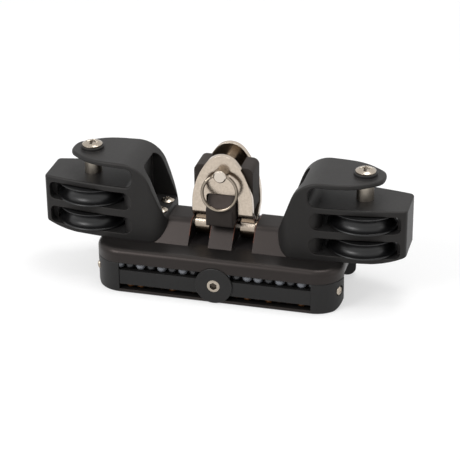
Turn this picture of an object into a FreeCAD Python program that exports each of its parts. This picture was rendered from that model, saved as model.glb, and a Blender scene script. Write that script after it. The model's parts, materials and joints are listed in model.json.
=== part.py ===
import FreeCAD, Part
import os
from math import asin, cos, pi, radians, sin, sqrt, tan

# Mainsheet traveller car with a bent strip toggle and a double control block at each end.
# Millimetres. X runs along the track, Z is up, and the origin is at the bottom centre.

# Car body: a flange with a ridge on top, and a rail down each side
BODY_LENGTH = 156.0
BODY_WIDTH = 70.0
FLANGE_TOP = 29.0
FLANGE_THICKNESS = 9.0
FLANGE_BOTTOM = FLANGE_TOP - FLANGE_THICKNESS
PLAN_CORNER = 17.5
FLANGE_EDGE_ROUND = 4.0
PARTING_CHAMFER = 0.35
BOTTOM_EDGE_ROUND = 0.8
RAIL_WIDTH = 15.5
TRACK_HALF_WIDTH = BODY_WIDTH / 2 - RAIL_WIDTH
TRACK_ROOF = 22.5

# The toggle's barrel turns just above the flange, and the ridge covers it
STRIP_THICKNESS = 3.6
BARREL_RADIUS = 7.25
BARREL_GAP = 0.35
SWING_HEIGHT = FLANGE_TOP + BARREL_GAP + BARREL_RADIUS
RIDGE_COVER = 5.9
RIDGE_TOP = SWING_HEIGHT + RIDGE_COVER
RIDGE_HALF_LENGTH = 54.5
RIDGE_HALF_BASE = 19.8
RIDGE_SLOPE = radians(52.0)
RIDGE_ROUND = 6.0
STRAP_SLOT_INNER = 7.5
STRAP_SLOT_OUTER = 20.2

# Ball circuits: a loaded row beside the track and a return row behind the side window
BALL_DIAMETER = 6.35
BALL_CLEARANCE = 0.05
BALL_PITCH = 6.7
LOADED_ROW_INSET = 1.5
LOADED_ROW = TRACK_HALF_WIDTH + LOADED_ROW_INSET
RETURN_ROW_INSET = 4.5
RETURN_ROW = BODY_WIDTH / 2 - RETURN_ROW_INSET
UPPER_CIRCUIT_DROP = 1.85
UPPER_CIRCUIT = FLANGE_BOTTOM - UPPER_CIRCUIT_DROP
LIP_HEIGHT = 2.2
LOWER_CIRCUIT_RISE = 3.4
LOWER_CIRCUIT = LIP_HEIGHT + LOWER_CIRCUIT_RISE
ROW_OVERRUN = 0.4
WEB_DEPTH = 2.1
WEB_OUTER = RETURN_ROW - WEB_DEPTH

# Guide bar, centre disc and end caps on each side
END_CAP_LENGTH = 17.5
WINDOW_HALF_LENGTH = BODY_LENGTH / 2 - END_CAP_LENGTH
BAR_BOTTOM = 5.6
BAR_TOP = 15.2
BAR_INSET = 0.5
BAR_OUTER = BODY_WIDTH / 2 - BAR_INSET
BAR_END_GAP = 0.1
DISC_DIAMETER = 23.5
DISC_CENTRE = 11.8
DISC_PROUD = 0.8
DISC_FACE = BODY_WIDTH / 2 + DISC_PROUD
DISC_EDGE_ROUND = 0.6
DISC_SEAT_CLEARANCE = 0.05
CAP_END_ROUND = 6.5
CAP_SCREW_INSET = 5.0
CAP_SCREW_ROW = TRACK_HALF_WIDTH + CAP_SCREW_INSET
CAP_SCREW_HEIGHT = 12.7
CAP_SEAT_DEPTH = 3.0
CAP_SEAT_CLEARANCE = 0.25

# Toggle: one strip bent round the cross pin, with an egg shaped ear front and back
EAR_FACE = 12.1
FOLD_RISE = 12.4
FOLD_HEIGHT = SWING_HEIGHT + FOLD_RISE
FOLD_ROUND = 2.0
CREASE_ANGLE = radians(46.0)
CREASE_ROUND = 0.8
STRAP_SLIT = 0.3
EAR_HALF_WIDTH = 19.0
EAR_WIDEST_RISE = 17.9
EAR_WIDEST_HEIGHT = SWING_HEIGHT + EAR_WIDEST_RISE
EAR_TOP_RADIUS = 11.4
CLEVIS_RISE = 40.2
CLEVIS_HEIGHT = SWING_HEIGHT + CLEVIS_RISE
WINDOW_HALF_WIDTH = 9.8
WINDOW_RISE = 26.1
WINDOW_TOP = SWING_HEIGHT + WINDOW_RISE
WINDOW_CORNER = 2.0
PIN_CLEARANCE = 0.05
PIN_CHAMFER = 0.5
CROSS_PIN_START = -27.0

# Stand-up boot moulded to fit between the ears
BOOT_HALF_WIDTH = 18.4
BOOT_TOP_RISE = 3.2
BOOT_TOP = CLEVIS_HEIGHT + BOOT_TOP_RISE
BOOT_CORNER = 4.0
BOOT_RECESS_RADIUS = 11.0
BOOT_BASE_RISE = 15.2
BOOT_BASE = SWING_HEIGHT + BOOT_BASE_RISE
BOOT_FOOT_RISE = 6.9
BOOT_FOOT = SWING_HEIGHT + BOOT_FOOT_RISE
BOOT_FOOT_HALF_WIDTH = 15.2
BOOT_FOOT_INNER = 8.4
BOOT_SIDE_GAP = 0.05
TONGUE_HALF_WIDTH = 8.6
TONGUE_FACE = 20.0
TONGUE_BOTTOM_RISE = 7.7
TONGUE_BOTTOM = SWING_HEIGHT + TONGUE_BOTTOM_RISE
TONGUE_SHOULDER_RISE = 19.0
TONGUE_SHOULDER = SWING_HEIGHT + TONGUE_SHOULDER_RISE
TONGUE_ROOT_RISE = 25.8
TONGUE_ROOT = SWING_HEIGHT + TONGUE_ROOT_RISE
TONGUE_SWEEP_RADIUS = 15.2
TONGUE_EDGE_ROUND = 1.6

# Clevis pin and its split ring
CLEVIS_RADIUS = 4.0
CLEVIS_TIP = 18.0
CLEVIS_TIP_CHAMFER = 0.8
CLEVIS_HEAD_RADIUS = 6.5
CLEVIS_HEAD_DEPTH = 2.5
CLEVIS_HEAD_ROUND = 0.7
RING_HOLE_OFFSET = 15.0
RING_HOLE_RADIUS = 1.55
RING_RADIUS = 10.75
RING_WIRE_RADIUS = 1.0
RING_TILT = radians(17.0)
RING_HOLE_RISE = 0.35

# Control block at each end, drawn for the right hand end and mirrored for the left
AXLE_X = 86.0
BLOCK_END = 114.0
BLOCK_END_HALF_WIDTH = 13.3
BLOCK_MID_X = 80.0
BLOCK_MID_HALF_WIDTH = 18.9
BLOCK_NOSE = 34.0
BLOCK_NOSE_CORNER_X = 36.6
BLOCK_NOSE_HALF_WIDTH = 20.2
BLOCK_NOSE_CORNER = 11.0
BLOCK_END_CORNER = 3.0
BLOCK_EDGE_ROUND = 1.4
BLOCK_FLOOR = 3.8
SHEAVE_SLOT = 11.6
BLOCK_WEB = 4.8
BLOCK_ROOF = 3.5
BLOCK_TOP = FLANGE_TOP + BLOCK_FLOOR + SHEAVE_SLOT + BLOCK_WEB + SHEAVE_SLOT + BLOCK_ROOF
BLOCK_HEEL_X = 93.0
BLOCK_HEEL_RISE = 5.0
HEEL_MIDDLE_SHIFT = 1.0
HEEL_MIDDLE_RISE = 1.7
BECKET_GAP = 12.5
ARM_BOTTOM = BLOCK_TOP + BECKET_GAP
ARM_THICKNESS = 3.2
ARM_TOP = ARM_BOTTOM + ARM_THICKNESS
ARM_ROOT_X = 55.0
ARM_TAPER_X = 70.0
ARM_TIP_X = 98.5
ARM_SHOULDER = (82.6, 17.3)
ARM_NARROWING = (94.0, 10.0)
ARM_EDGE_ROUND = 1.3
BECKET_GAP_CORNER = 5.0
FOOT_COVER = 2.7
FOOT_TOP = RIDGE_TOP + FOOT_COVER
CHEEK_LEAN = radians(20.0)
CHEEK_ROUND = 19.0
CHEEK_ROUND_X = 62.0
HOLLOW_HALF_WIDTH = 14.4
HOLLOW_ROOF = 4.3
HOLLOW_CORNER = 5.5
HOLLOW_END = 52.0
POCKET_CLEARANCE = 0.1

# Sheaves, bushes and the axle that is also the becket
SHEAVE_RADIUS = 22.5
SHEAVE_WIDTH = 10.5
SHEAVE_HUB_WIDTH = 11.2
SHEAVE_HUB_RADIUS = 10.0
SHEAVE_WEB_WIDTH = 8.4
SHEAVE_WEB_OUTER = 17.0
SHEAVE_STEP = 0.8
ROPE_GROOVE_RADIUS = 4.4
SHEAVE_POCKET_GAP = 0.7
ROPE_POCKET_GAP = 4.0
MOUTH_START = 55.6
MOUTH_START_ROUND = 5.7
MOUTH_INNER = 8.0
MOUTH_END = 110.6
MOUTH_END_ROUND = 3.5
MOUTH_OUTER = 26.0
GUIDE_RADIUS = 10.0
GUIDE_CENTRE = (52.5, 10.8)
BUSH_RADIUS = 7.0
AXLE_RADIUS = 5.3
AXLE_FOOT_RADIUS = 7.6
AXLE_FOOT_HEIGHT = 1.8
AXLE_FOOT_INSET = 0.5
AXLE_TOP_GAP = 1.0

# Screws, each as head radius, head height, rim height, shank radius and shank length
AXLE_SCREW = (6.3, 2.6, 0.9, 3.0, 15.0)
FOOT_SCREW = (4.2, 1.9, 0.5, 2.0, 13.0)
CAP_SCREW = (3.0, 2.4, 1.0, 1.6, 24.0)
DISC_SCREW = (4.0, 1.6, 1.0, 2.0, 10.5)
DISC_SCREW_SINK = 1.1
DISC_SCREW_CLEARANCE = 0.1
RECESS_SHARE = 0.5
RECESS_FLOOR_SHARE = 0.35
CROSS_WIDTH_SHARE = 0.09
DOME_MIDDLE = (0.6, 0.66)
FOOT_SCREW_X = 40.5
FOOT_SCREW_Y = 7.25
SCREW_BOSS_RADIUS = 7.3
SCREW_BOSS_HEIGHT = 2.0
SCREW_BOSS_ROUND = 0.4

X_AXIS = FreeCAD.Vector(1, 0, 0)
Y_AXIS = FreeCAD.Vector(0, 1, 0)
Z_AXIS = FreeCAD.Vector(0, 0, 1)
CENTRE = FreeCAD.Vector(0, 0, 0)
REACH = 200.0


def vec(x, y, z):
    return FreeCAD.Vector(x, y, z)


def box(x_range, y_range, z_range):
    """Block between two limits on each axis."""
    corner = vec(x_range[0], y_range[0], z_range[0])
    size = (x_range[1] - x_range[0], y_range[1] - y_range[0], z_range[1] - z_range[0])
    return Part.makeBox(size[0], size[1], size[2], corner)


def rod(start, axis, radius, length):
    return Part.makeCylinder(radius, length, start, axis)


def mirrored(shape, normal):
    return shape.mirror(CENTRE, normal)


def on_side(shape, side):
    """Shape drawn for the rear (+Y), kept there or mirrored to the front (-Y)."""
    if side > 0:
        return shape
    return mirrored(shape, Y_AXIS)


def at_end(shape, end):
    """Shape drawn for the right (+X), kept there or mirrored to the left (-X)."""
    if end > 0:
        return shape
    return mirrored(shape, X_AXIS)


def fused(shapes):
    return shapes[0].multiFuse(shapes[1:]).removeSplitter()


def outline(start, steps, place):
    """Closed face from a start point and steps: a point for a line, a pair of points for an arc."""
    edges = []
    here = place(*start)
    for step in steps:
        if isinstance(step[0], tuple):
            middle = place(*step[0])
            there = place(*step[1])
            edges.append(Part.Arc(here, middle, there).toShape())
        else:
            there = place(*step)
            edges.append(Part.LineSegment(here, there).toShape())
        here = there
    return Part.Face(Part.Wire(edges))


def in_xy(x, y):
    return vec(x, y, 0)


def in_xz(x, z):
    return vec(x, 0, z)


def in_yz(y, z):
    return vec(0, y, z)


def through(face, axis, low, high):
    """Prism of a face between two distances along an axis."""
    prism = face.extrude(axis * (high - low))
    prism.translate(axis * low)
    return prism


def rounded(shape, radius, wanted):
    """Rounds every edge whose centre passes the test."""
    edges = [edge for edge in shape.Edges if wanted(edge)]
    return shape.makeFillet(radius, edges)


def runs_along(edge, axis):
    first = edge.Vertexes[0].Point
    last = edge.Vertexes[-1].Point
    along = (last - first)
    return along.Length > 1e-6 and abs(along.dot(axis)) > along.Length * 0.9999


def near(value, target, slack=0.05):
    return abs(value - target) < slack


def rounded_box(x_range, y_range, z_range, axis, radius):
    """Block whose edges along one axis are rounded."""
    return rounded(box(x_range, y_range, z_range), radius, lambda edge: runs_along(edge, axis))


def rounded_box_top(x_range, y_range, z_range, axis, radius):
    """Block whose two upper edges along one axis are rounded."""
    return rounded(box(x_range, y_range, z_range), radius, lambda edge: runs_along(edge, axis)
                   and near(edge.CenterOfMass.z, z_range[1]))


def chamfered(shape, size, wanted):
    edges = [edge for edge in shape.Edges if wanted(edge)]
    return shape.makeChamfer(size, edges)


# Car body and its ball circuits

def ridge(half_length, grow):
    """Central ridge: flat top, rounded shoulders and plane slopes, grown on its slopes by a clearance."""
    base = RIDGE_HALF_BASE + grow
    shoulder = base - (RIDGE_TOP - FLANGE_TOP) / tan(RIDGE_SLOPE)
    face = outline((-base, FLANGE_TOP), [(-shoulder, RIDGE_TOP), (shoulder, RIDGE_TOP),
                                         (base, FLANGE_TOP), (-base, FLANGE_TOP)], in_yz)
    solid = through(face, X_AXIS, -half_length, half_length)
    return rounded(solid, RIDGE_ROUND, lambda edge: runs_along(edge, X_AXIS)
                   and near(edge.CenterOfMass.z, RIDGE_TOP))


def body_plan(low, high):
    """Slab with the body's outline from above: straight sides and a quarter round at each corner."""
    half = BODY_LENGTH / 2
    wide = BODY_WIDTH / 2
    return rounded_box((-half, half), (-wide, wide), (low, high), Z_AXIS, PLAN_CORNER)


def flange():
    slab = body_plan(FLANGE_BOTTOM, FLANGE_TOP)
    slab = rounded(slab, FLANGE_EDGE_ROUND, lambda edge: near(edge.CenterOfMass.z, FLANGE_TOP))
    return chamfered(slab, PARTING_CHAMFER, lambda edge: near(edge.CenterOfMass.z, FLANGE_BOTTOM))


def raceway(height):
    """Space swept by one circuit of balls on the rear side: two straight rows and a turn at each end."""
    bore = BALL_DIAMETER / 2 + BALL_CLEARANCE
    turn_radius = (RETURN_ROW - LOADED_ROW) / 2
    turn_row = (RETURN_ROW + LOADED_ROW) / 2
    length = 2 * WINDOW_HALF_LENGTH
    pieces = []
    for row in (LOADED_ROW, RETURN_ROW):
        pieces.append(rod(vec(-WINDOW_HALF_LENGTH, row, height), X_AXIS, bore, length))
    for end in (-1, 1):
        centre = vec(end * WINDOW_HALF_LENGTH, turn_row, height)
        turn = Part.makeTorus(turn_radius, bore, centre, Z_AXIS)
        keep = box((0, REACH), (0, REACH), (0, REACH))
        keep.translate(vec(WINDOW_HALF_LENGTH, 0, 0))
        pieces.append(turn.common(at_end(keep, end)))
    return pieces


def raceways(side):
    upper = raceway(UPPER_CIRCUIT)
    lower = raceway(LOWER_CIRCUIT)
    return [on_side(piece, side) for piece in upper + lower]


def disc_seat(side):
    start = vec(0, BAR_OUTER, DISC_CENTRE)
    return on_side(rod(start, Y_AXIS, DISC_DIAMETER / 2 + DISC_SEAT_CLEARANCE, REACH), side)


def cap_screw_seat():
    return vec(BODY_LENGTH / 2 - CAP_SEAT_DEPTH, CAP_SCREW_ROW, CAP_SCREW_HEIGHT)


def cap_screw_hole(side, end):
    """Hole for a cap's screw and the flat spot under its head."""
    shank_radius, shank_length = CAP_SCREW[3:]
    start = cap_screw_seat() - X_AXIS * shank_length
    hole = rod(start, X_AXIS, shank_radius, shank_length)
    spot = rod(cap_screw_seat(), X_AXIS, CAP_SCREW[0] + CAP_SEAT_CLEARANCE, REACH)
    return at_end(on_side(hole.fuse(spot), side), end)


def disc_screw_hole(side):
    shank_radius, shank_length = DISC_SCREW[3:]
    start = vec(0, DISC_FACE - DISC_SCREW_SINK - shank_length, DISC_CENTRE)
    return on_side(rod(start, Y_AXIS, shank_radius, shank_length), side)


def foot_screw_hole(end, row):
    shank_radius, shank_length = FOOT_SCREW[3:]
    start = vec(end * FOOT_SCREW_X, row * FOOT_SCREW_Y, FOOT_TOP - shank_length)
    return rod(start, Z_AXIS, shank_radius, shank_length)


def pin_bore():
    return BARREL_RADIUS - STRIP_THICKNESS


def cross_pin_bore():
    start = vec(CROSS_PIN_START, 0, SWING_HEIGHT)
    return rod(start, X_AXIS, pin_bore(), REACH)


def car_body():
    span = (-WINDOW_HALF_LENGTH, WINDOW_HALF_LENGTH)
    web = box(span, (TRACK_HALF_WIDTH, WEB_OUTER), (0, FLANGE_BOTTOM))
    lip = box(span, (WEB_OUTER, BODY_WIDTH / 2), (0, LIP_HEIGHT))
    lip = rounded(lip, BOTTOM_EDGE_ROUND, lambda edge: near(edge.CenterOfMass.y, BODY_WIDTH / 2)
                  and near(edge.CenterOfMass.z, 0))
    pieces = [flange(), ridge(RIDGE_HALF_LENGTH, 0.0)]
    for side in (-1, 1):
        pieces.append(on_side(web, side))
        pieces.append(on_side(lip, side))
    body = fused(pieces)
    track = (-TRACK_HALF_WIDTH, TRACK_HALF_WIDTH)
    cuts = [box((-REACH, REACH), track, (-1.0, TRACK_ROOF)), cross_pin_bore()]
    for end in (-1, 1):
        slot = box((STRAP_SLOT_INNER, STRAP_SLOT_OUTER), (-REACH, REACH), (FLANGE_TOP, REACH))
        cuts.append(at_end(slot, end))
        for row in (-1, 1):
            cuts.append(foot_screw_hole(end, row))
            cuts.append(cap_screw_hole(row, end))
    for side in (-1, 1):
        cuts.extend(raceways(side))
        cuts.append(disc_seat(side))
        cuts.append(disc_screw_hole(side))
    return body.cut(cuts)


def end_cap(side, end):
    """Cap that closes a side rail and turns both circuits of balls round."""
    half = BODY_LENGTH / 2
    plan = body_plan(0, FLANGE_BOTTOM)
    plan = rounded(plan, BOTTOM_EDGE_ROUND, lambda edge: near(edge.CenterOfMass.z, 0))
    plan = chamfered(plan, PARTING_CHAMFER, lambda edge: near(edge.CenterOfMass.z, FLANGE_BOTTOM))
    end_rest = CAP_END_ROUND * (1 - sqrt(0.5))
    profile = outline((WINDOW_HALF_LENGTH, 0), [
        (half - CAP_END_ROUND, 0), ((half - end_rest, end_rest), (half, CAP_END_ROUND)),
        (half, FLANGE_BOTTOM), (WINDOW_HALF_LENGTH, FLANGE_BOTTOM), (WINDOW_HALF_LENGTH, 0)], in_xz)
    block = plan.common(through(profile, Y_AXIS, TRACK_HALF_WIDTH, REACH))
    cap = at_end(on_side(block, side), end)
    return cap.cut(raceways(side) + [cap_screw_hole(side, end)])


def guide_bar(side):
    """Bar in the side window that holds both return rows in their grooves."""
    reach = WINDOW_HALF_LENGTH - BAR_END_GAP
    bar = on_side(box((-reach, reach), (WEB_OUTER, BAR_OUTER), (BAR_BOTTOM, BAR_TOP)), side)
    return bar.cut(raceways(side) + [disc_screw_hole(side)])


def centre_disc(side):
    radius = DISC_DIAMETER / 2
    disc = rod(vec(0, BAR_OUTER, DISC_CENTRE), Y_AXIS, radius, DISC_FACE - BAR_OUTER)
    disc = rounded(disc, DISC_EDGE_ROUND, lambda edge: near(edge.CenterOfMass.y, DISC_FACE)
                   and edge.Closed)
    sink_start = vec(0, DISC_FACE - DISC_SCREW_SINK, DISC_CENTRE)
    sink = rod(sink_start, Y_AXIS, DISC_SCREW[0] + DISC_SCREW_CLEARANCE, REACH)
    return on_side(disc.cut(sink), side).cut(disc_screw_hole(side))


def ball_circuit(side, height):
    """Balls set along one racetrack, nearly touching, with one ball at the crown of each turn."""
    row_end = WINDOW_HALF_LENGTH + ROW_OVERRUN
    spaces = round(2 * row_end / BALL_PITCH)
    pitch = 2 * row_end / spaces
    middle = (LOADED_ROW + RETURN_ROW) / 2
    crown = WINDOW_HALF_LENGTH + (RETURN_ROW - LOADED_ROW) / 2
    centres = [vec(-crown, side * middle, height), vec(crown, side * middle, height)]
    for row in (LOADED_ROW, RETURN_ROW):
        for index in range(spaces + 1):
            centres.append(vec(index * pitch - row_end, side * row, height))
    return Part.makeCompound([Part.makeSphere(BALL_DIAMETER / 2, centre) for centre in centres])


# Toggle, boot, clevis pin and ring

def crease():
    """Where a strap's outer skin turns from its lean onto the barrel, on the rear side."""
    return (BARREL_RADIUS * sin(CREASE_ANGLE), SWING_HEIGHT + BARREL_RADIUS * cos(CREASE_ANGLE))


def strip_skin():
    """Everything inside the strip's outer skin: ears, straps that lean in, and the barrel."""
    fold = (EAR_FACE, FOLD_HEIGHT)
    turn = crease()
    face = outline((EAR_FACE, REACH), [
        fold, turn, ((0, SWING_HEIGHT - BARREL_RADIUS), (-turn[0], turn[1])),
        (-EAR_FACE, FOLD_HEIGHT), (-EAR_FACE, REACH), (EAR_FACE, REACH)], in_yz)
    prism = through(face, X_AXIS, -EAR_HALF_WIDTH, EAR_HALF_WIDTH)
    prism = rounded(prism, FOLD_ROUND + STRIP_THICKNESS, lambda edge: runs_along(edge, X_AXIS)
                    and near(edge.CenterOfMass.z, FOLD_HEIGHT))
    return rounded(prism, CREASE_ROUND, lambda edge: runs_along(edge, X_AXIS)
                   and near(edge.CenterOfMass.z, turn[1]))


def between_straps(inset, half_gap, half_length):
    """Space between the ears and the leaning straps at an inset from the skin, down to a half gap."""
    turn = crease()
    run = EAR_FACE - turn[0]
    drop = FOLD_HEIGHT - turn[1]
    slant = sqrt(run * run + drop * drop)
    wide = EAR_FACE - inset
    bend = FOLD_HEIGHT + inset * (slant - drop) / run
    bottom = bend - (wide - half_gap) * drop / run
    face = outline((wide, REACH), [
        (wide, bend), (half_gap, bottom), (-half_gap, bottom), (-wide, bend), (-wide, REACH),
        (wide, REACH)], in_yz)
    prism = through(face, X_AXIS, -half_length, half_length)
    fold = FOLD_ROUND + STRIP_THICKNESS - inset
    return rounded(prism, fold, lambda edge: runs_along(edge, X_AXIS)
                   and near(edge.CenterOfMass.z, bend))


def ear_outline():
    """Egg outline: straight sides, a long arc each side and a round top about the clevis pin."""
    rise = CLEVIS_HEIGHT - EAR_WIDEST_HEIGHT
    top = EAR_TOP_RADIUS
    wide = EAR_HALF_WIDTH
    side_radius = (wide * wide + rise * rise - top * top) / (2 * (wide - top))
    side_x = wide - side_radius
    gap = side_radius - top
    join = (-side_x * top / gap, CLEVIS_HEIGHT + rise * top / gap)
    half_turn = 0.5 * asin(rise / gap)
    middle = (side_x + side_radius * cos(half_turn), EAR_WIDEST_HEIGHT + side_radius * sin(half_turn))
    return outline((-wide, 0), [
        (wide, 0), (wide, EAR_WIDEST_HEIGHT), (middle, join),
        ((0, CLEVIS_HEIGHT + top), (-join[0], join[1])),
        ((-middle[0], middle[1]), (-wide, EAR_WIDEST_HEIGHT)), (-wide, 0)], in_xz)


def toggle():
    """The bent strip: two ears, four straps that meet in a slit and a barrel round the cross pin."""
    slit = box((-REACH, REACH), (-STRAP_SLIT, STRAP_SLIT), (SWING_HEIGHT, FOLD_HEIGHT))
    bore = rod(vec(-REACH, 0, SWING_HEIGHT), X_AXIS, pin_bore(), 2 * REACH)
    strip = strip_skin().cut([between_straps(STRIP_THICKNESS, STRAP_SLIT, REACH), slit, bore])
    strip = strip.common(through(ear_outline(), Y_AXIS, -REACH, REACH))
    window = rounded(box((-WINDOW_HALF_WIDTH, WINDOW_HALF_WIDTH), (-REACH, REACH), (0, WINDOW_TOP)),
                     WINDOW_CORNER, lambda edge: runs_along(edge, Y_AXIS)
                     and near(edge.CenterOfMass.z, WINDOW_TOP))
    hole = rod(vec(0, -REACH, CLEVIS_HEIGHT), Y_AXIS, CLEVIS_RADIUS + PIN_CLEARANCE, 2 * REACH)
    return strip.cut([window, hole])


def cross_pin():
    length = RIDGE_HALF_LENGTH - CROSS_PIN_START
    pin = rod(vec(CROSS_PIN_START, 0, SWING_HEIGHT), X_AXIS, pin_bore() - PIN_CLEARANCE, length)
    return chamfered(pin, PIN_CHAMFER, lambda edge: edge.Closed)


def boot_core():
    """Slab between the ears with two shoulders and a round recess about the clevis pin."""
    thick = EAR_FACE - STRIP_THICKNESS - BOOT_SIDE_GAP
    wide = BOOT_HALF_WIDTH
    slab = box((-wide, wide), (-thick, thick), (BOOT_BASE, BOOT_TOP))
    slab = rounded(slab, BOOT_CORNER, lambda edge: runs_along(edge, Y_AXIS)
                   and near(edge.CenterOfMass.z, BOOT_TOP))
    recess = rod(vec(0, -REACH, CLEVIS_HEIGHT), Y_AXIS, BOOT_RECESS_RADIUS, 2 * REACH)
    return slab.cut(recess)


def boot_foot(end):
    """Leg that fills the space between the straps on one side of the middle bar."""
    profile = outline((BOOT_FOOT_INNER, BOOT_FOOT), [
        (BOOT_FOOT_HALF_WIDTH, BOOT_FOOT), (BOOT_HALF_WIDTH, BOOT_BASE),
        (BOOT_FOOT_INNER, BOOT_BASE), (BOOT_FOOT_INNER, BOOT_FOOT)], in_xz)
    leg = through(profile, Y_AXIS, -REACH, REACH)
    return at_end(leg.common(between_straps(STRIP_THICKNESS + BOOT_SIDE_GAP, STRAP_SLIT, REACH)), end)


def boot_tongues():
    """Front and rear tongues through the ear windows, hollowed below to swing over the middle bar."""
    ear = EAR_FACE
    face = TONGUE_FACE
    profile = outline((-face, TONGUE_BOTTOM), [
        (face, TONGUE_BOTTOM), (face, TONGUE_SHOULDER), (ear, TONGUE_ROOT), (-ear, TONGUE_ROOT),
        (-face, TONGUE_SHOULDER), (-face, TONGUE_BOTTOM)], in_yz)
    block = through(profile, X_AXIS, -TONGUE_HALF_WIDTH, TONGUE_HALF_WIDTH)
    block = rounded(block, TONGUE_EDGE_ROUND, lambda edge: abs(edge.CenterOfMass.y) > ear + 1.0)
    sweep = rod(vec(-REACH, 0, SWING_HEIGHT), X_AXIS, TONGUE_SWEEP_RADIUS, 2 * REACH)
    return block.cut(sweep)


def stand_up_boot():
    return fused([boot_core(), boot_foot(-1), boot_foot(1), boot_tongues()])


def clevis_pin():
    """Pin with a flat head at the rear and a cross hole near its tip for the ring."""
    shank = rod(vec(0, -CLEVIS_TIP, CLEVIS_HEIGHT), Y_AXIS, CLEVIS_RADIUS, CLEVIS_TIP + EAR_FACE)
    shank = chamfered(shank, CLEVIS_TIP_CHAMFER, lambda edge: edge.Closed
                      and near(edge.CenterOfMass.y, -CLEVIS_TIP))
    head = rod(vec(0, EAR_FACE, CLEVIS_HEIGHT), Y_AXIS, CLEVIS_HEAD_RADIUS, CLEVIS_HEAD_DEPTH)
    head = rounded(head, CLEVIS_HEAD_ROUND, lambda edge: edge.Closed
                   and near(edge.CenterOfMass.y, EAR_FACE + CLEVIS_HEAD_DEPTH))
    hole = rod(vec(-REACH, -RING_HOLE_OFFSET, CLEVIS_HEIGHT), X_AXIS, RING_HOLE_RADIUS, 2 * REACH)
    return fused([shank, head]).cut(hole)


def split_ring():
    """Ring through the cross hole, hanging forward over the top edge of the tongue."""
    hang = vec(0, -sin(RING_TILT), -cos(RING_TILT))
    top = vec(0, -RING_HOLE_OFFSET, CLEVIS_HEIGHT + RING_HOLE_RISE)
    normal = hang.cross(X_AXIS)
    return Part.makeTorus(RING_RADIUS, RING_WIRE_RADIUS, top + hang * RING_RADIUS, normal)


# Control blocks, drawn at the right hand end

def slot_floors():
    lower = FLANGE_TOP + BLOCK_FLOOR
    return (lower, lower + SHEAVE_SLOT + BLOCK_WEB)


def side_circle():
    """Circle that one side of the block follows from above, from its square end to its nose."""
    end = vec(BLOCK_END, BLOCK_END_HALF_WIDTH, 0)
    swell = vec(BLOCK_MID_X, BLOCK_MID_HALF_WIDTH, 0)
    nose = vec(BLOCK_NOSE_CORNER_X, BLOCK_NOSE_HALF_WIDTH, 0)
    return Part.Arc(end, swell, nose).toShape().Curve


def side_point(x):
    """Point of the block's rear side at a distance along the car."""
    circle = side_circle()
    offset = x - circle.Center.x
    return vec(x, circle.Center.y + sqrt(circle.Radius * circle.Radius - offset * offset), 0)


def block_plan():
    """Plan outline: a narrow square end, sides that swell gently and a blunt nose over the ridge."""
    end = (BLOCK_END, BLOCK_END_HALF_WIDTH)
    swell = (BLOCK_MID_X, BLOCK_MID_HALF_WIDTH)
    nose = (BLOCK_NOSE_CORNER_X, BLOCK_NOSE_HALF_WIDTH)
    return outline((end[0], -end[1]), [
        end, (swell, nose), ((BLOCK_NOSE, 0), (nose[0], -nose[1])),
        ((swell[0], -swell[1]), (end[0], -end[1]))], in_xy)


def block_side():
    """Side profile: a cheek that leans back and rounds over into the arm, and a risen heel."""
    centre_height = ARM_TOP - CHEEK_ROUND
    touch = (CHEEK_ROUND_X - CHEEK_ROUND * cos(CHEEK_LEAN), centre_height + CHEEK_ROUND * sin(CHEEK_LEAN))
    low_x = touch[0] - (touch[1] - FLANGE_TOP) * tan(CHEEK_LEAN)
    middle_angle = (CHEEK_LEAN + pi / 2) / 2
    middle = (CHEEK_ROUND_X - CHEEK_ROUND * cos(middle_angle),
              centre_height + CHEEK_ROUND * sin(middle_angle))
    heel_mid = ((BLOCK_HEEL_X + BLOCK_END) / 2 + HEEL_MIDDLE_SHIFT, FLANGE_TOP + HEEL_MIDDLE_RISE)
    heel_end = (BLOCK_END, FLANGE_TOP + BLOCK_HEEL_RISE)
    return outline((low_x, FLANGE_TOP), [
        touch, (middle, (CHEEK_ROUND_X, ARM_TOP)), (REACH, ARM_TOP), (REACH, heel_end[1]), heel_end,
        (heel_mid, (BLOCK_HEEL_X, FLANGE_TOP)), (low_x, FLANGE_TOP)], in_xz)


def arm_plan():
    """Arm and cheeks from above: the block's nose and sides, then a smooth taper to a round tip."""
    nose = vec(BLOCK_NOSE_CORNER_X, BLOCK_NOSE_HALF_WIDTH, 0)
    start = side_point(ARM_TAPER_X)
    halfway = side_point((BLOCK_NOSE_CORNER_X + ARM_TAPER_X) / 2)
    points = [start, vec(ARM_SHOULDER[0], ARM_SHOULDER[1], 0),
              vec(ARM_NARROWING[0], ARM_NARROWING[1], 0), vec(ARM_TIP_X, 0, 0)]
    out = start - side_circle().Center
    taper = Part.BSplineCurve()
    taper.interpolate(Points=points, InitialTangent=vec(out.y, -out.x, 0), FinalTangent=vec(0, -1, 0))
    side = Part.Arc(nose, halfway, start).toShape()
    edges = [side, taper.toShape()]
    edges += [mirrored(edge, Y_AXIS) for edge in edges]
    edges.append(Part.Arc(nose, vec(BLOCK_NOSE, 0, 0), vec(nose.x, -nose.y, 0)).toShape())
    return Part.Face(Part.Wire(Part.sortEdges(edges)[0]))


def becket_gap():
    """Space between the housing and the arm, rounded at its root."""
    gap = box((ARM_ROOT_X, REACH), (-REACH, REACH), (BLOCK_TOP, ARM_BOTTOM))
    return rounded(gap, BECKET_GAP_CORNER, lambda edge: runs_along(edge, Y_AXIS)
                   and near(edge.CenterOfMass.x, ARM_ROOT_X))


def nosed_prism(plan, low, high):
    prism = through(plan, Z_AXIS, low, high)
    return rounded(prism, BLOCK_NOSE_CORNER, lambda edge: runs_along(edge, Z_AXIS)
                   and near(edge.CenterOfMass.x, BLOCK_NOSE_CORNER_X))


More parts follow.
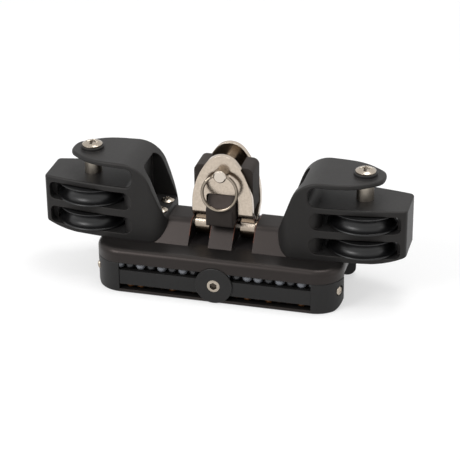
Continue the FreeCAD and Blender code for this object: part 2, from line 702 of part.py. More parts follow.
def rims_gap(edge):
    """True for an edge that runs round the becket gap's mouth."""
    span = edge.BoundBox
    inside = span.ZMin > BLOCK_TOP - 0.1 and span.ZMax < ARM_BOTTOM + 0.1 and span.XMin > ARM_ROOT_X - 0.1
    return inside and (not runs_along(edge, Y_AXIS) or near(edge.CenterOfMass.x, BLOCK_END))


def rims_cheek(edge):
    """True for an edge that runs up a cheek or round the top of the arm."""
    straight = edge.Curve.TypeId == "Part::GeomLine"
    low = edge.CenterOfMass.z < FLANGE_TOP + BLOCK_HEEL_RISE
    return not (straight or low or runs_along(edge, Z_AXIS) or rims_gap(edge))


def block_blank():
    """Housing and arm as one solid with soft outer edges, before its hollow, slots and holes."""
    parting = BLOCK_TOP + BECKET_GAP / 2
    lower = nosed_prism(block_plan(), FLANGE_TOP, parting)
    lower = rounded(lower, BLOCK_END_CORNER, lambda edge: runs_along(edge, Z_AXIS)
                    and near(edge.CenterOfMass.x, BLOCK_END))
    blank = fused([lower, nosed_prism(arm_plan(), parting, ARM_TOP)])
    blank = blank.common(through(block_side(), Y_AXIS, -REACH, REACH))
    blank = blank.cut(becket_gap()).removeSplitter()
    blank = rounded(blank, BLOCK_EDGE_ROUND, rims_cheek)
    return rounded(blank, ARM_EDGE_ROUND, rims_gap)


def hollow():
    """Hollow that faces the toggle and gives room to drive the foot screws."""
    wide = HOLLOW_HALF_WIDTH
    roof = ARM_TOP - HOLLOW_ROOF
    return rounded_box_top((0, HOLLOW_END), (-wide, wide), (FOOT_TOP, roof), X_AXIS, HOLLOW_CORNER)


def sheave_slot(floor):
    """Pocket round a sheave, wider on the side that the rope wraps, with a round ended mouth each side."""
    pocket = rod(vec(AXLE_X, 0, floor), Z_AXIS, SHEAVE_RADIUS + SHEAVE_POCKET_GAP, SHEAVE_SLOT)
    wrap = rod(vec(AXLE_X, 0, floor), Z_AXIS, SHEAVE_RADIUS + ROPE_POCKET_GAP, SHEAVE_SLOT)
    wrap = wrap.common(box((0, AXLE_X), (-REACH, REACH), (0, REACH)))
    mouth = box((MOUTH_START, MOUTH_END), (MOUTH_INNER, MOUTH_OUTER), (floor, floor + SHEAVE_SLOT))
    mouth = rounded(mouth, MOUTH_START_ROUND, lambda edge: runs_along(edge, Y_AXIS)
                    and near(edge.CenterOfMass.x, MOUTH_START))
    mouth = rounded(mouth, MOUTH_END_ROUND, lambda edge: runs_along(edge, Y_AXIS)
                    and near(edge.CenterOfMass.x, MOUTH_END))
    guide = rod(vec(GUIDE_CENTRE[0], GUIDE_CENTRE[1], floor), Z_AXIS, GUIDE_RADIUS, SHEAVE_SLOT)
    mouth = mouth.cut(guide)
    return fused([pocket, wrap, mouth, on_side(mouth, -1)])


def axle_holes():
    through_hole = rod(vec(AXLE_X, 0, 0), Z_AXIS, AXLE_RADIUS + PIN_CLEARANCE, REACH)
    foot_height = AXLE_FOOT_INSET + AXLE_FOOT_HEIGHT
    foot = rod(vec(AXLE_X, 0, FLANGE_TOP), Z_AXIS, AXLE_FOOT_RADIUS + PIN_CLEARANCE, foot_height)
    return [through_hole, foot]


def screw_boss():
    """Raised boss on the arm under the axle screw's head."""
    boss = rod(vec(AXLE_X, 0, ARM_TOP), Z_AXIS, SCREW_BOSS_RADIUS, SCREW_BOSS_HEIGHT)
    return rounded(boss, SCREW_BOSS_ROUND, lambda edge: edge.Closed
                   and near(edge.CenterOfMass.z, ARM_TOP + SCREW_BOSS_HEIGHT))


def block_housing(end):
    pocket = ridge(RIDGE_HALF_LENGTH + POCKET_CLEARANCE, POCKET_CLEARANCE)
    cuts = [hollow(), pocket]
    cuts.extend(sheave_slot(floor) for floor in slot_floors())
    blank = block_blank().cut(cuts)
    blank = blank.fuse(screw_boss()).removeSplitter()
    holes = axle_holes() + [foot_screw_hole(1, row) for row in (-1, 1)]
    return at_end(blank.cut(holes), end)


def sheave(end, floor):
    """Grooved wheel turned in one piece, with a proud hub and recessed web on both faces."""
    bore = BUSH_RADIUS + PIN_CLEARANCE
    hub = SHEAVE_HUB_WIDTH / 2
    rim = SHEAVE_WIDTH / 2
    web = SHEAVE_WEB_WIDTH / 2
    outer = SHEAVE_RADIUS
    groove = ROPE_GROOVE_RADIUS
    step = SHEAVE_STEP
    face = outline((bore, -hub), [
        (SHEAVE_HUB_RADIUS, -hub), (SHEAVE_HUB_RADIUS + step, -web), (SHEAVE_WEB_OUTER, -web),
        (SHEAVE_WEB_OUTER + step, -rim), (outer, -rim), (outer, -groove),
        ((outer - groove, 0), (outer, groove)), (outer, rim), (SHEAVE_WEB_OUTER + step, rim),
        (SHEAVE_WEB_OUTER, web), (SHEAVE_HUB_RADIUS + step, web), (SHEAVE_HUB_RADIUS, hub),
        (bore, hub), (bore, -hub)], in_xz)
    wheel = face.revolve(CENTRE, Z_AXIS, 360)
    wheel.translate(vec(end * AXLE_X, 0, floor + SHEAVE_SLOT / 2))
    return wheel


def sheave_bush(end, floor):
    """Plain sleeve clamped between the housing's plates, which the sheave turns on."""
    start = vec(end * AXLE_X, 0, floor)
    sleeve = rod(start, Z_AXIS, BUSH_RADIUS, SHEAVE_SLOT)
    return sleeve.cut(rod(start, Z_AXIS, AXLE_RADIUS + PIN_CLEARANCE, SHEAVE_SLOT))


def sheave_axle(end):
    """Axle with a flat foot below, carried up to the arm as the becket, tapped at the top."""
    foot_floor = FLANGE_TOP + AXLE_FOOT_INSET
    seat = ARM_TOP + SCREW_BOSS_HEIGHT
    top = ARM_TOP - AXLE_TOP_GAP
    foot = rod(vec(end * AXLE_X, 0, foot_floor), Z_AXIS, AXLE_FOOT_RADIUS, AXLE_FOOT_HEIGHT)
    stem = rod(vec(end * AXLE_X, 0, foot_floor), Z_AXIS, AXLE_RADIUS, top - foot_floor)
    tapped = rod(vec(end * AXLE_X, 0, seat - AXLE_SCREW[4]), Z_AXIS, AXLE_SCREW[3], REACH)
    return fused([foot, stem]).cut(tapped)


# Screws

def domed_screw(size, cross):
    """Screw up Z with its head's seat at the origin: a rimmed dome with a cross or hexagon recess."""
    head_radius, head_height, rim, shank_radius, shank_length = size
    dome = (head_radius * DOME_MIDDLE[0], rim + (head_height - rim) * DOME_MIDDLE[1])
    face = outline((0, 0), [
        (head_radius, 0), (head_radius, rim), (dome, (0, head_height)), (0, 0)], in_xz)
    head = face.revolve(CENTRE, Z_AXIS, 360)
    shank = rod(vec(0, 0, -shank_length), Z_AXIS, shank_radius, shank_length)
    screw = fused([head, shank])
    arm = head_radius * RECESS_SHARE
    floor = head_height * RECESS_FLOOR_SHARE
    if cross:
        slot_width = head_radius * CROSS_WIDTH_SHARE
        slots = [box((-arm, arm), (-slot_width, slot_width), (floor, REACH)),
                 box((-slot_width, slot_width), (-arm, arm), (floor, REACH))]
        return screw.cut(slots)
    hexagon = Part.makePolygon([vec(arm * cos(turn * pi / 3), arm * sin(turn * pi / 3), floor)
                                for turn in range(7)])
    return screw.cut(Part.Face(hexagon).extrude(vec(0, 0, REACH)))


def placed(shape, spot, axis):
    """Copy of a shape drawn up Z, turned to point along an axis and moved to a spot."""
    copy = shape.copy()
    copy.Placement = FreeCAD.Placement(spot, FreeCAD.Rotation(Z_AXIS, axis))
    return copy


def axle_screws():
    screw = domed_screw(AXLE_SCREW, True)
    seat = ARM_TOP + SCREW_BOSS_HEIGHT
    return Part.makeCompound([placed(screw, vec(end * AXLE_X, 0, seat), Z_AXIS) for end in (-1, 1)])


def foot_screws():
    screw = domed_screw(FOOT_SCREW, False)
    spots = [vec(end * FOOT_SCREW_X, row * FOOT_SCREW_Y, FOOT_TOP) for end in (-1, 1) for row in (-1, 1)]
    return Part.makeCompound([placed(screw, spot, Z_AXIS) for spot in spots])


def end_cap_screws():
    screw = domed_screw(CAP_SCREW, True)
    seat = cap_screw_seat()
    solids = []
    for end in (-1, 1):
        for side in (-1, 1):
            solids.append(placed(screw, vec(end * seat.x, side * seat.y, seat.z), X_AXIS * end))
    return Part.makeCompound(solids)


def disc_screws():
    screw = domed_screw(DISC_SCREW, False)
    seat = DISC_FACE - DISC_SCREW_SINK
    return Part.makeCompound([placed(screw, vec(0, side * seat, DISC_CENTRE), Y_AXIS * side)
                              for side in (-1, 1)])


def model():
    """Every piece by its name."""
    sides = {"front": -1, "rear": 1}
    ends = {"left": -1, "right": 1}
    levels = dict(zip(("lower", "upper"), slot_floors()))
    pieces = {
        "car_body": car_body(),
        "end_cap_screws": end_cap_screws(),
        "disc_screws": disc_screws(),
        "cross_pin": cross_pin(),
        "toggle": toggle(),
        "stand_up_boot": stand_up_boot(),
        "clevis_pin": clevis_pin(),
        "split_ring": split_ring(),
        "axle_screws": axle_screws(),
        "foot_screws": foot_screws(),
    }
    for side_name, side in sides.items():
        pieces["guide_bar_" + side_name] = guide_bar(side)
        pieces["centre_disc_" + side_name] = centre_disc(side)
        pieces["upper_balls_" + side_name] = ball_circuit(side, UPPER_CIRCUIT)
        pieces["lower_balls_" + side_name] = ball_circuit(side, LOWER_CIRCUIT)
        for end_name, end in ends.items():
            pieces["end_cap_" + side_name + "_" + end_name] = end_cap(side, end)
    for end_name, end in ends.items():
        pieces["block_housing_" + end_name] = block_housing(end)
        pieces["sheave_axle_" + end_name] = sheave_axle(end)
        for level_name, floor in levels.items():
            pieces[level_name + "_sheave_" + end_name] = sheave(end, floor)
            pieces[level_name + "_bush_" + end_name] = sheave_bush(end, floor)
    return pieces


def main():
    os.makedirs("parts", exist_ok=True)
    for name, shape in model().items():
        size = shape.BoundBox
        print(name, shape.ShapeType, "solids", len(shape.Solids), "valid", shape.isValid(),
              "volume %.1f" % shape.Volume,
              "box %.2f %.2f %.2f to %.2f %.2f %.2f" % (size.XMin, size.YMin, size.ZMin,
                                                        size.XMax, size.YMax, size.ZMax))
        shape.exportStep("parts/" + name + ".step")


main()
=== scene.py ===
"""Looks for the mainsheet traveller car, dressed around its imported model.

The script loads the model as a fixed frame, gives every node a finish worked out from noise and
the piece's own coordinates, and puts finely turned and wound pieces in place of the sheaves, the
screws, the balls and the ring. Lengths are in metres, and in millimetres where a class says so. X
runs along the car, Y to its rear and Z up.
"""

import json
import logging
import math
from collections.abc import Sequence
from dataclasses import dataclass, field
from enum import Enum
from functools import reduce

import bpy
import numpy as np
from mathutils import Matrix, Vector

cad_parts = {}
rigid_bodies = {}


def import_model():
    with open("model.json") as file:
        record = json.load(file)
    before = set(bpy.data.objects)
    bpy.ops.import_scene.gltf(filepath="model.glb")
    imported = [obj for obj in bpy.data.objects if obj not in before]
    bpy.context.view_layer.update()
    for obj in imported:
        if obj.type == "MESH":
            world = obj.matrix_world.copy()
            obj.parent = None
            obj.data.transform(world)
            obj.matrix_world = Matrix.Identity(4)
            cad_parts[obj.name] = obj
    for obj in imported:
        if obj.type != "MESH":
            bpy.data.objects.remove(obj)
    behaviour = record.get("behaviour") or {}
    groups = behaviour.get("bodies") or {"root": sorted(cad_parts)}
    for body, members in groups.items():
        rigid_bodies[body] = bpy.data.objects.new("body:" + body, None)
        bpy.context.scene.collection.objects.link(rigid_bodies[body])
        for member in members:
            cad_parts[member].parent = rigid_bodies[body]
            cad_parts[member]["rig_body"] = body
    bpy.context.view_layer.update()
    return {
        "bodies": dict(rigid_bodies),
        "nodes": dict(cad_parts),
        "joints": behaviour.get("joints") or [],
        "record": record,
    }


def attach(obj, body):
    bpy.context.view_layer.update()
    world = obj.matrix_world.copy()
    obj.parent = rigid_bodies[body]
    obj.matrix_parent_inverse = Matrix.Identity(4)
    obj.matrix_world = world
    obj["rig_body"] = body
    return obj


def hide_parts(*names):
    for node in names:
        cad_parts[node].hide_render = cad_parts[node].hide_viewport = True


LOG = logging.getLogger("traveller")
MM = 0.001
TAU = 2.0 * math.pi
ENDS = ("left", "right")
SIDES = ("front", "rear")
WHITE = (1.0, 1.0, 1.0, 1.0)
LONGEST_ROUNDING = 0.45

Point = tuple[float, float, float]
Colour = tuple[float, float, float]
Socket = bpy.types.NodeSocket


class Axis(Enum):
    """Direction that a turned piece's own axis points in."""

    LEFT = (-1.0, 0.0, 0.0)
    RIGHT = (1.0, 0.0, 0.0)
    FRONT = (0.0, -1.0, 0.0)
    REAR = (0.0, 1.0, 0.0)
    UP = (0.0, 0.0, 1.0)


class Recess(Enum):
    """Shape that a screw's driver fits."""

    CROSS = "cross"
    HEXAGON = "hexagon"


# Surfaces


def smooth(value: np.ndarray) -> np.ndarray:
    """Smooth step of an array: t^2 (3 - 2t), with t held between 0 and 1."""
    t = np.clip(value, 0.0, 1.0)
    return t * t * (3.0 - 2.0 * t)


def grid_faces(rows: int, columns: int, close_rows: bool) -> np.ndarray:
    """Quads between neighbouring points of a grid whose rows are closed loops.

    Args:
        rows: number of rows of points.
        columns: number of points in a row.
        close_rows: whether the last row joins the first.

    Returns:
        Array of four vertex numbers for each quad.
    """
    row = np.arange(rows if close_rows else rows - 1)
    row, column = np.meshgrid(row, np.arange(columns), indexing="ij")
    next_row = (row + 1) % rows
    next_column = (column + 1) % columns
    corners = (row * columns + column, next_row * columns + column,
               next_row * columns + next_column, row * columns + next_column)
    return np.stack([corner.ravel() for corner in corners], axis=1)


@dataclass(frozen=True)
class Surface:
    """Closed shape: its points, its faces as arrays of quads and triangles, and a mark per point."""

    points: np.ndarray
    faces: tuple[np.ndarray, ...]
    mark: np.ndarray

    @staticmethod
    def of_grid(grid: np.ndarray, ring: bool, mark: np.ndarray | float = 0.0) -> "Surface":
        """Surface of a grid of points whose rows are loops.

        A ring joins its last row to its first. Otherwise each end row is closed by a fan of
        triangles to the mean of its points.

        Args:
            grid: array of rows x columns x 3.
            ring: whether the rows themselves run round.
            mark: number for each point that a marked finish reads, as an array like the grid.

        Returns:
            The closed surface, with its faces pointing out.
        """
        rows, columns = grid.shape[:2]
        points = grid.reshape(-1, 3)
        marks = np.broadcast_to(mark, (rows, columns))
        values = marks.ravel()
        faces = [grid_faces(rows, columns, ring)]
        if not ring:
            first, last = len(points), len(points) + 1
            column = np.arange(columns)
            onward = (column + 1) % columns
            end = (rows - 1) * columns
            faces.append(np.stack([np.full(columns, first), column, onward], axis=1))
            faces.append(np.stack([np.full(columns, last), end + onward, end + column], axis=1))
            points = np.concatenate([points, grid[0].mean(axis=0)[None], grid[-1].mean(axis=0)[None]])
            values = np.append(values, (marks[0].mean(), marks[-1].mean()))
        return Surface(points, tuple(faces), values).outward()

    def outward(self) -> "Surface":
        """Turns a shape whose faces point in: six times its volume, sum a.(b x c), is negative.

        Returns:
            The same surface, with its faces pointing out.
        """
        volume = 0.0
        for faces in self.faces:
            corners = self.points[faces]
            for turn in range(1, faces.shape[1] - 1):
                cross = np.cross(corners[:, turn], corners[:, turn + 1])
                volume += float(np.sum(corners[:, 0] * cross))
        if volume >= 0.0:
            return self
        return Surface(self.points, tuple(faces[:, ::-1] for faces in self.faces), self.mark)

    def placed(self, spot: Point, axis: Axis = Axis.UP) -> "Surface":
        """Same surface drawn up Z, turned to an axis and moved to a spot."""
        turn = np.array(Vector(Axis.UP.value).rotation_difference(Vector(axis.value)).to_matrix())
        return Surface(self.points @ turn.T + np.array(spot), self.faces, self.mark)

    @staticmethod
    def joined(parts: Sequence["Surface"]) -> "Surface":
        """One surface of several separate shells.

        Args:
            parts: the shells.

        Returns:
            Their points, faces and marks, one shell after another.
        """
        starts = np.cumsum([0] + [len(part.points) for part in parts[:-1]])
        faces = tuple(face + start for part, start in zip(parts, starts) for face in part.faces)
        return Surface(np.concatenate([part.points for part in parts]), faces,
                       np.concatenate([part.mark for part in parts]))

    def piece(self, name: str) -> bpy.types.Object:
        """Puts the surface in a smooth mesh object at the origin, with its marks.

        Args:
            name: name of the mesh and its object.

        Returns:
            The new object.
        """
        mesh = bpy.data.meshes.new(name)
        faces = [face for block in self.faces for face in block.tolist()]
        mesh.from_pydata(self.points.tolist(), [], faces)
        mesh.polygons.foreach_set("use_smooth", np.full(len(mesh.polygons), True))
        marks = mesh.attributes.new("mark", "FLOAT", "POINT")
        marks.data.foreach_set("value", self.mark.astype(np.float32))
        mesh.validate()
        mesh.update()
        made = bpy.data.objects.new(name, mesh)
        bpy.context.scene.collection.objects.link(made)
        return made


def rounded_line(corners: Sequence[tuple[float, float]], radius: float, steps: int = 5) -> np.ndarray:
    """Open line through corners with each inner corner rounded.

    Each corner becomes a quadratic curve from one tangent point to the other:
    p(t) = (1-t)^2 a + 2t(1-t) corner + t^2 b, where a and b lie a radius back along its two sides.

    Args:
        corners: the line's corners as (r, z) pairs.
        radius: how far back from each corner its rounding starts, within a share of its sides.
        steps: points on each rounding.

    Returns:
        Array of (r, z) points.
    """
    line = np.array(corners, float)
    before, corner, after = line[:-2], line[1:-1], line[2:]
    to_before, to_after = before - corner, after - corner
    run_before = np.linalg.norm(to_before, axis=1, keepdims=True)
    run_after = np.linalg.norm(to_after, axis=1, keepdims=True)
    start = corner + to_before / run_before * np.minimum(radius, run_before * LONGEST_ROUNDING)
    end = corner + to_after / run_after * np.minimum(radius, run_after * LONGEST_ROUNDING)
    t = np.linspace(0.0, 1.0, steps)[None, :, None]
    arcs = (1 - t) ** 2 * start[:, None] + 2 * t * (1 - t) * corner[:, None] + t ** 2 * end[:, None]
    return np.concatenate([line[:1], arcs.reshape(-1, 2), line[-1:]])


def turned(profile: np.ndarray, sides: int) -> np.ndarray:
    """Grid of a surface of revolution: (r, z) at angle a becomes (r cos a, r sin a, z).

    Args:
        profile: array of (r, z) points.
        sides: number of points round the axis.

    Returns:
        Array of rows x sides x 3, with one row for each point of the profile.
    """
    angle = np.linspace(0.0, TAU, sides, endpoint=False)[None, :]
    radius, height = profile[:, 0:1], profile[:, 1:2]
    return np.stack([radius * np.cos(angle), radius * np.sin(angle), height + 0 * angle], axis=-1)


# Effects that several finishes share


class Net:
    """Short ways to add nodes to one tree."""

    def __init__(self, tree: bpy.types.NodeTree) -> None:
        """Keeps the tree that the nodes go into."""
        self.tree = tree

    def node(self, kind: str) -> bpy.types.Node:
        """New node of a kind."""
        return self.tree.nodes.new(kind)

    def input(self, label: str) -> Socket:
        """Named input of the group."""
        return self.tree.nodes["in"].outputs[label]

    def output(self, label: str, value: Socket) -> None:
        """Joins a value to a named output of the group."""
        self.tree.links.new(value, self.tree.nodes["out"].inputs[label])

    def set(self, socket: Socket, value: object) -> None:
        """Joins a socket to an input, or writes a plain value there.

        Args:
            socket: input of a node.
            value: another node's output, or a plain value.
        """
        if isinstance(value, bpy.types.NodeSocket):
            self.tree.links.new(value, socket)
        else:
            socket.default_value = value

    def maths(self, operation: str, first: object, second: object) -> Socket:
        """Result of one sum on two numbers.

        Args:
            operation: name of the sum.
            first: number or socket.
            second: number or socket.

        Returns:
            The result's socket.
        """
        made = self.node("ShaderNodeMath")
        made.operation = operation
        self.set(made.inputs[0], first)
        self.set(made.inputs[1], second)
        return made.outputs[0]

    def size(self, value: object) -> Socket:
        """Value without its sign."""
        return self.maths("ABSOLUTE", value, 0.0)

    def product(self, *values: object) -> Socket:
        """Product of several numbers or sockets."""
        return reduce(lambda first, second: self.maths("MULTIPLY", first, second), values)

    def vector(self, operation: str, first: object, second: object) -> bpy.types.Node:
        """One sum on two vectors.

        Args:
            operation: name of the sum.
            first: vector or socket.
            second: vector or socket.

        Returns:
            The node, because some sums give a number and others a vector.
        """
        made = self.node("ShaderNodeVectorMath")
        made.operation = operation
        self.set(made.inputs[0], first)
        self.set(made.inputs[1], second)
        return made

    def parts(self, vector: object) -> tuple[Socket, Socket, Socket]:
        """The three numbers of a vector.

        Args:
            vector: socket of the vector.

        Returns:
            Sockets of its X, Y and Z.
        """
        made = self.node("ShaderNodeSeparateXYZ")
        self.set(made.inputs[0], vector)
        return made.outputs["X"], made.outputs["Y"], made.outputs["Z"]

    def facing(self) -> tuple[Socket, Socket, Socket]:
        """How far the surface faces along the piece's own X, Y and Z."""
        return self.parts(self.node("ShaderNodeTexCoord").outputs["Normal"])

    def noise(self, vector: object, scale: object, detail: float, rough: float) -> Socket:
        """Noise from 0 to 1.

        Args:
            vector: place on the piece.
            scale: how many features a metre holds.
            detail: number of finer octaves.
            rough: how much each octave adds to the one before.

        Returns:
            Socket of the noise.
        """
        made = self.node("ShaderNodeTexNoise")
        made.inputs["Detail"].default_value = detail
        made.inputs["Roughness"].default_value = rough
        self.set(made.inputs["Vector"], vector)
        self.set(made.inputs["Scale"], scale)
        return made.outputs["Fac"]

    def ramp(self, value: object, low: float, high: float) -> Socket:
        """Value carried smoothly from 0 at low to 1 at high.

        Args:
            value: the value to carry.
            low: value that gives 0.
            high: value that gives 1, which may lie below the other.

        Returns:
            Socket of the result.
        """
        made = self.node("ShaderNodeMapRange")
        made.interpolation_type = "SMOOTHSTEP"
        self.set(made.inputs["Value"], value)
        made.inputs["From Min"].default_value = low
        made.inputs["From Max"].default_value = high
        return made.outputs["Result"]

    def between(self, value: object, low: object, high: object) -> Socket:
        """Value from 0 to 1 carried to lie between two numbers.

        Args:
            value: the value to carry.
            low: result at 0.
            high: result at 1.

        Returns:
            Socket of the result.
        """
        made = self.node("ShaderNodeMapRange")
        self.set(made.inputs["Value"], value)
        self.set(made.inputs["To Min"], low)
        self.set(made.inputs["To Max"], high)
        return made.outputs["Result"]

    def mix(self, factor: object, first: Colour | Socket, second: Colour | Socket) -> Socket:
        """Colour between two colours.

        Args:
            factor: share of the second colour.
            first: colour or socket.
            second: colour or socket.

        Returns:
            Socket of the mixed colour.
        """
        made = self.node("ShaderNodeMix")
        made.data_type = "RGBA"
        self.set(made.inputs["Factor"], factor)
        for label, value in (("A", first), ("B", second)):
            socket = next(s for s in made.inputs if s.name == label and s.type == "RGBA")
            self.set(socket, (*value, 1.0) if isinstance(value, tuple) else value)
        return next(s for s in made.outputs if s.type == "RGBA")

    def group(self, tree: bpy.types.NodeTree, output: str, **values: object) -> Socket:
        """One output of a shared effect.

        Args:
            tree: the effect's node group.
            output: name of the output.
            **values: a value or socket for each input that leaves its default.

        Returns:
            Socket of that output.
        """
        made = self.node("ShaderNodeGroup")
        made.node_tree = tree
        for label, value in values.items():
            self.set(made.inputs[label], value)
        return made.outputs[output]


class Effects:
    """Shader node groups, built once and placed in each finish with its own values."""

    def __init__(self) -> None:
        """Builds the four groups."""
        self.grain = self._grain()
        self.cloud = self._cloud()
        self.edges = self._edges()
        self.streaks = self._streaks()

    @staticmethod
    def _group(name: str, output: str, **inputs: float) -> Net:
        """Empty group with a vector input, float inputs and one float output.

        Args:
            name: name of the group.
            output: name of its output.
            **inputs: default value of each float input.

        Returns:
            Net over the group's tree.
        """
        tree = bpy.data.node_groups.new(name, "ShaderNodeTree")
        tree.interface.new_socket(name="Vector", in_out="INPUT", socket_type="NodeSocketVector")
        for label, value in inputs.items():
            socket = tree.interface.new_socket(name=label, in_out="INPUT", socket_type="NodeSocketFloat")
            socket.default_value = value
        tree.interface.new_socket(name=output, in_out="OUTPUT", socket_type="NodeSocketFloat")
        tree.nodes.new("NodeGroupInput").name = "in"
        tree.nodes.new("NodeGroupOutput").name = "out"
        return Net(tree)

    def _grain(self) -> bpy.types.NodeTree:
        """Fine stipple of a mould or of blasting: a fine and a broad noise added as a height.

        Returns:
            The group's tree.
        """
        fine_share, broad_share = 0.7, 0.3
        net = self._group("fine grain", "Height", Size=0.4, Coarse=3.0)
        place = net.input("Vector")
        scale = net.maths("DIVIDE", 1.0 / MM, net.input("Size"))
        broad_scale = net.maths("DIVIDE", scale, net.input("Coarse"))
        fine = net.noise(place, scale, detail=2.0, rough=0.6)
        broad = net.noise(place, broad_scale, detail=1.0, rough=0.5)
        both = net.maths("ADD", net.product(fine, fine_share), net.product(broad, broad_share))
        net.output("Height", both)
        return net.tree

    def _cloud(self) -> bpy.types.NodeTree:
        """Slow change of tone over a surface, from 0 to 1.

        Returns:
            The group's tree.
        """
        net = self._group("slow cloud", "Mask", Size=20.0, Contrast=1.0)
        scale = net.maths("DIVIDE", 1.0 / MM, net.input("Size"))
        noise = net.noise(net.input("Vector"), scale, detail=3.0, rough=0.55)
        swing = net.product(net.maths("SUBTRACT", noise, 0.5), net.input("Contrast"))
        net.output("Mask", net.ramp(swing, low=-0.5, high=0.5))
        return net.tree

    def _edges(self) -> bpy.types.NodeTree:
        """Mask that is 1 on a sharp edge: how far the rounded normal leans from the flat one.

        Returns:
            The group's tree.
        """
        patches_per_metre = 600.0
        net = self._group("edge wear and highlight", "Mask", Width=0.5, Patchy=0.5)
        bevel = net.node("ShaderNodeBevel")
        bevel.samples = 4
        net.set(bevel.inputs["Radius"], net.product(net.input("Width"), MM))
        flat = net.node("ShaderNodeNewGeometry")
        likeness = net.vector("DOT_PRODUCT", bevel.outputs["Normal"], flat.outputs["Normal"])
        lean = net.maths("SUBTRACT", 1.0, likeness.outputs["Value"])
        sharp = net.ramp(lean, low=0.02, high=0.22)
        patch = net.noise(net.input("Vector"), patches_per_metre, detail=3.0, rough=0.6)
        kept = net.maths("SUBTRACT", 1.0, net.product(net.input("Patchy"), patch))
        net.output("Mask", net.product(sharp, kept))
        return net.tree

    def _streaks(self) -> bpy.types.NodeTree:
        """Parallel brush marks: noise squeezed across the brushing and drawn out along X.

        Returns:
            The group's tree.
        """
        net = self._group("brush marks", "Height", Fineness=0.12, Length=12.0)
        stretch = net.node("ShaderNodeCombineXYZ")
        net.set(stretch.inputs["X"], net.maths("DIVIDE", 1.0 / MM, net.input("Length")))
        for across in ("Y", "Z"):
            net.set(stretch.inputs[across], net.maths("DIVIDE", 1.0 / MM, net.input("Fineness")))
        drawn = net.vector("MULTIPLY", net.input("Vector"), stretch.outputs[0]).outputs["Vector"]
        net.output("Height", net.noise(drawn, 1.0, detail=2.0, rough=0.6))
        return net.tree


# Finishes


@dataclass(frozen=True)
class Coat:
    """A material in the making: its nodes, the shared effects and the piece's own coordinates."""

    net: Net
    effects: Effects
    place: Socket


@dataclass(frozen=True)
class Finish:
    """One surface finish: its tones, its gloss and the size of its texture in millimetres.

    The base colour runs between two tones with a slow cloud, and sharp edges take a third, which
    stands for wear and paints highlights along them. The grain group lifts the surface and varies
    its gloss.
    """

    name: str
    tone: Colour
    second_tone: Colour
    edge_wear_and_highlight_tone: Colour
    metallic: float = 0.0
    roughness: tuple[float, float] = (0.4, 0.5)
    specular: float = 0.5
    tint: Colour = (1.0, 1.0, 1.0)
    grain_size: float = 0.4
    grain_depth: float = 0.02
    streak_depth: float = 0.0
    streak_turn: Point = (0.0, 0.0, 0.0)
    streak_length: float = 12.0
    cloud_size: float = 20.0
    cloud_contrast: float = 1.6
    edge_width: float = 0.45
    edge_share: float = 0.5
    round_radius: float = 0.0

    def material(self, effects: Effects) -> bpy.types.Material:
        """Material of this finish.

        Args:
            effects: the shared node groups.

        Returns:
            The new material.
        """
        made = bpy.data.materials.new(self.name)
        made.use_nodes = True
        net = Net(made.node_tree)
        shader = made.node_tree.nodes["Principled BSDF"]
        place = net.node("ShaderNodeTexCoord").outputs["Object"]
        coat = Coat(net, effects, place)
        cloud = net.group(effects.cloud, "Mask", Vector=place, Size=self.cloud_size,
                          Contrast=self.cloud_contrast)
        grain = net.group(effects.grain, "Height", Vector=place, Size=self.grain_size)
        edges = net.group(effects.edges, "Mask", Vector=place, Width=self.edge_width)
        share = net.product(edges, self.edge_share)
        tones = net.mix(share, net.mix(cloud, self.tone, self.second_tone), self.edge_wear_and_highlight_tone)
        gloss = net.between(grain, *self.roughness)
        net.set(shader.inputs["Base Color"], self.local_tone(coat, tones))
        net.set(shader.inputs["Roughness"], self.local_gloss(coat, gloss))
        shader.inputs["Metallic"].default_value = self.metallic
        shader.inputs["Specular IOR Level"].default_value = self.specular
        shader.inputs["Specular Tint"].default_value = (*self.tint, 1.0)
        net.set(shader.inputs["Normal"], self._surface(coat, grain))
        return made

    def local_tone(self, coat: Coat, tones: Socket) -> Socket:
        """Colour after changes that belong to places on the piece; none here."""
        return tones

    def local_gloss(self, coat: Coat, roughness: Socket) -> Socket:
        """Roughness after changes that belong to places on the piece; none here."""
        return roughness

    def _surface(self, coat: Coat, grain: Socket) -> Socket:
        """Normal bumped by the grain and by brush marks, over edges eased by a small radius.

        Args:
            coat: the material in the making.
            grain: height of the grain, from 0 to 1.

        Returns:
            Socket of the normal.
        """
        net = coat.net
        height = net.product(grain, self.grain_depth * MM)
        if self.streak_depth > 0.0:
            turned_place = net.node("ShaderNodeMapping")
            turned_place.inputs["Rotation"].default_value = self.streak_turn
            net.set(turned_place.inputs["Vector"], coat.place)
            marks = net.group(coat.effects.streaks, "Height", Vector=turned_place.outputs[0],
                              Length=self.streak_length)
            height = net.maths("ADD", height, net.product(marks, self.streak_depth * MM))
        bump = net.node("ShaderNodeBump")
        bump.inputs["Distance"].default_value = 1.0
        bump.inputs["Strength"].default_value = 1.0
        net.set(bump.inputs["Height"], height)
        if self.round_radius > 0.0:
            eased = net.node("ShaderNodeBevel")
            eased.samples = 6
            eased.inputs["Radius"].default_value = self.round_radius * MM
            net.set(bump.inputs["Normal"], eased.outputs["Normal"])
        return bump.outputs["Normal"]


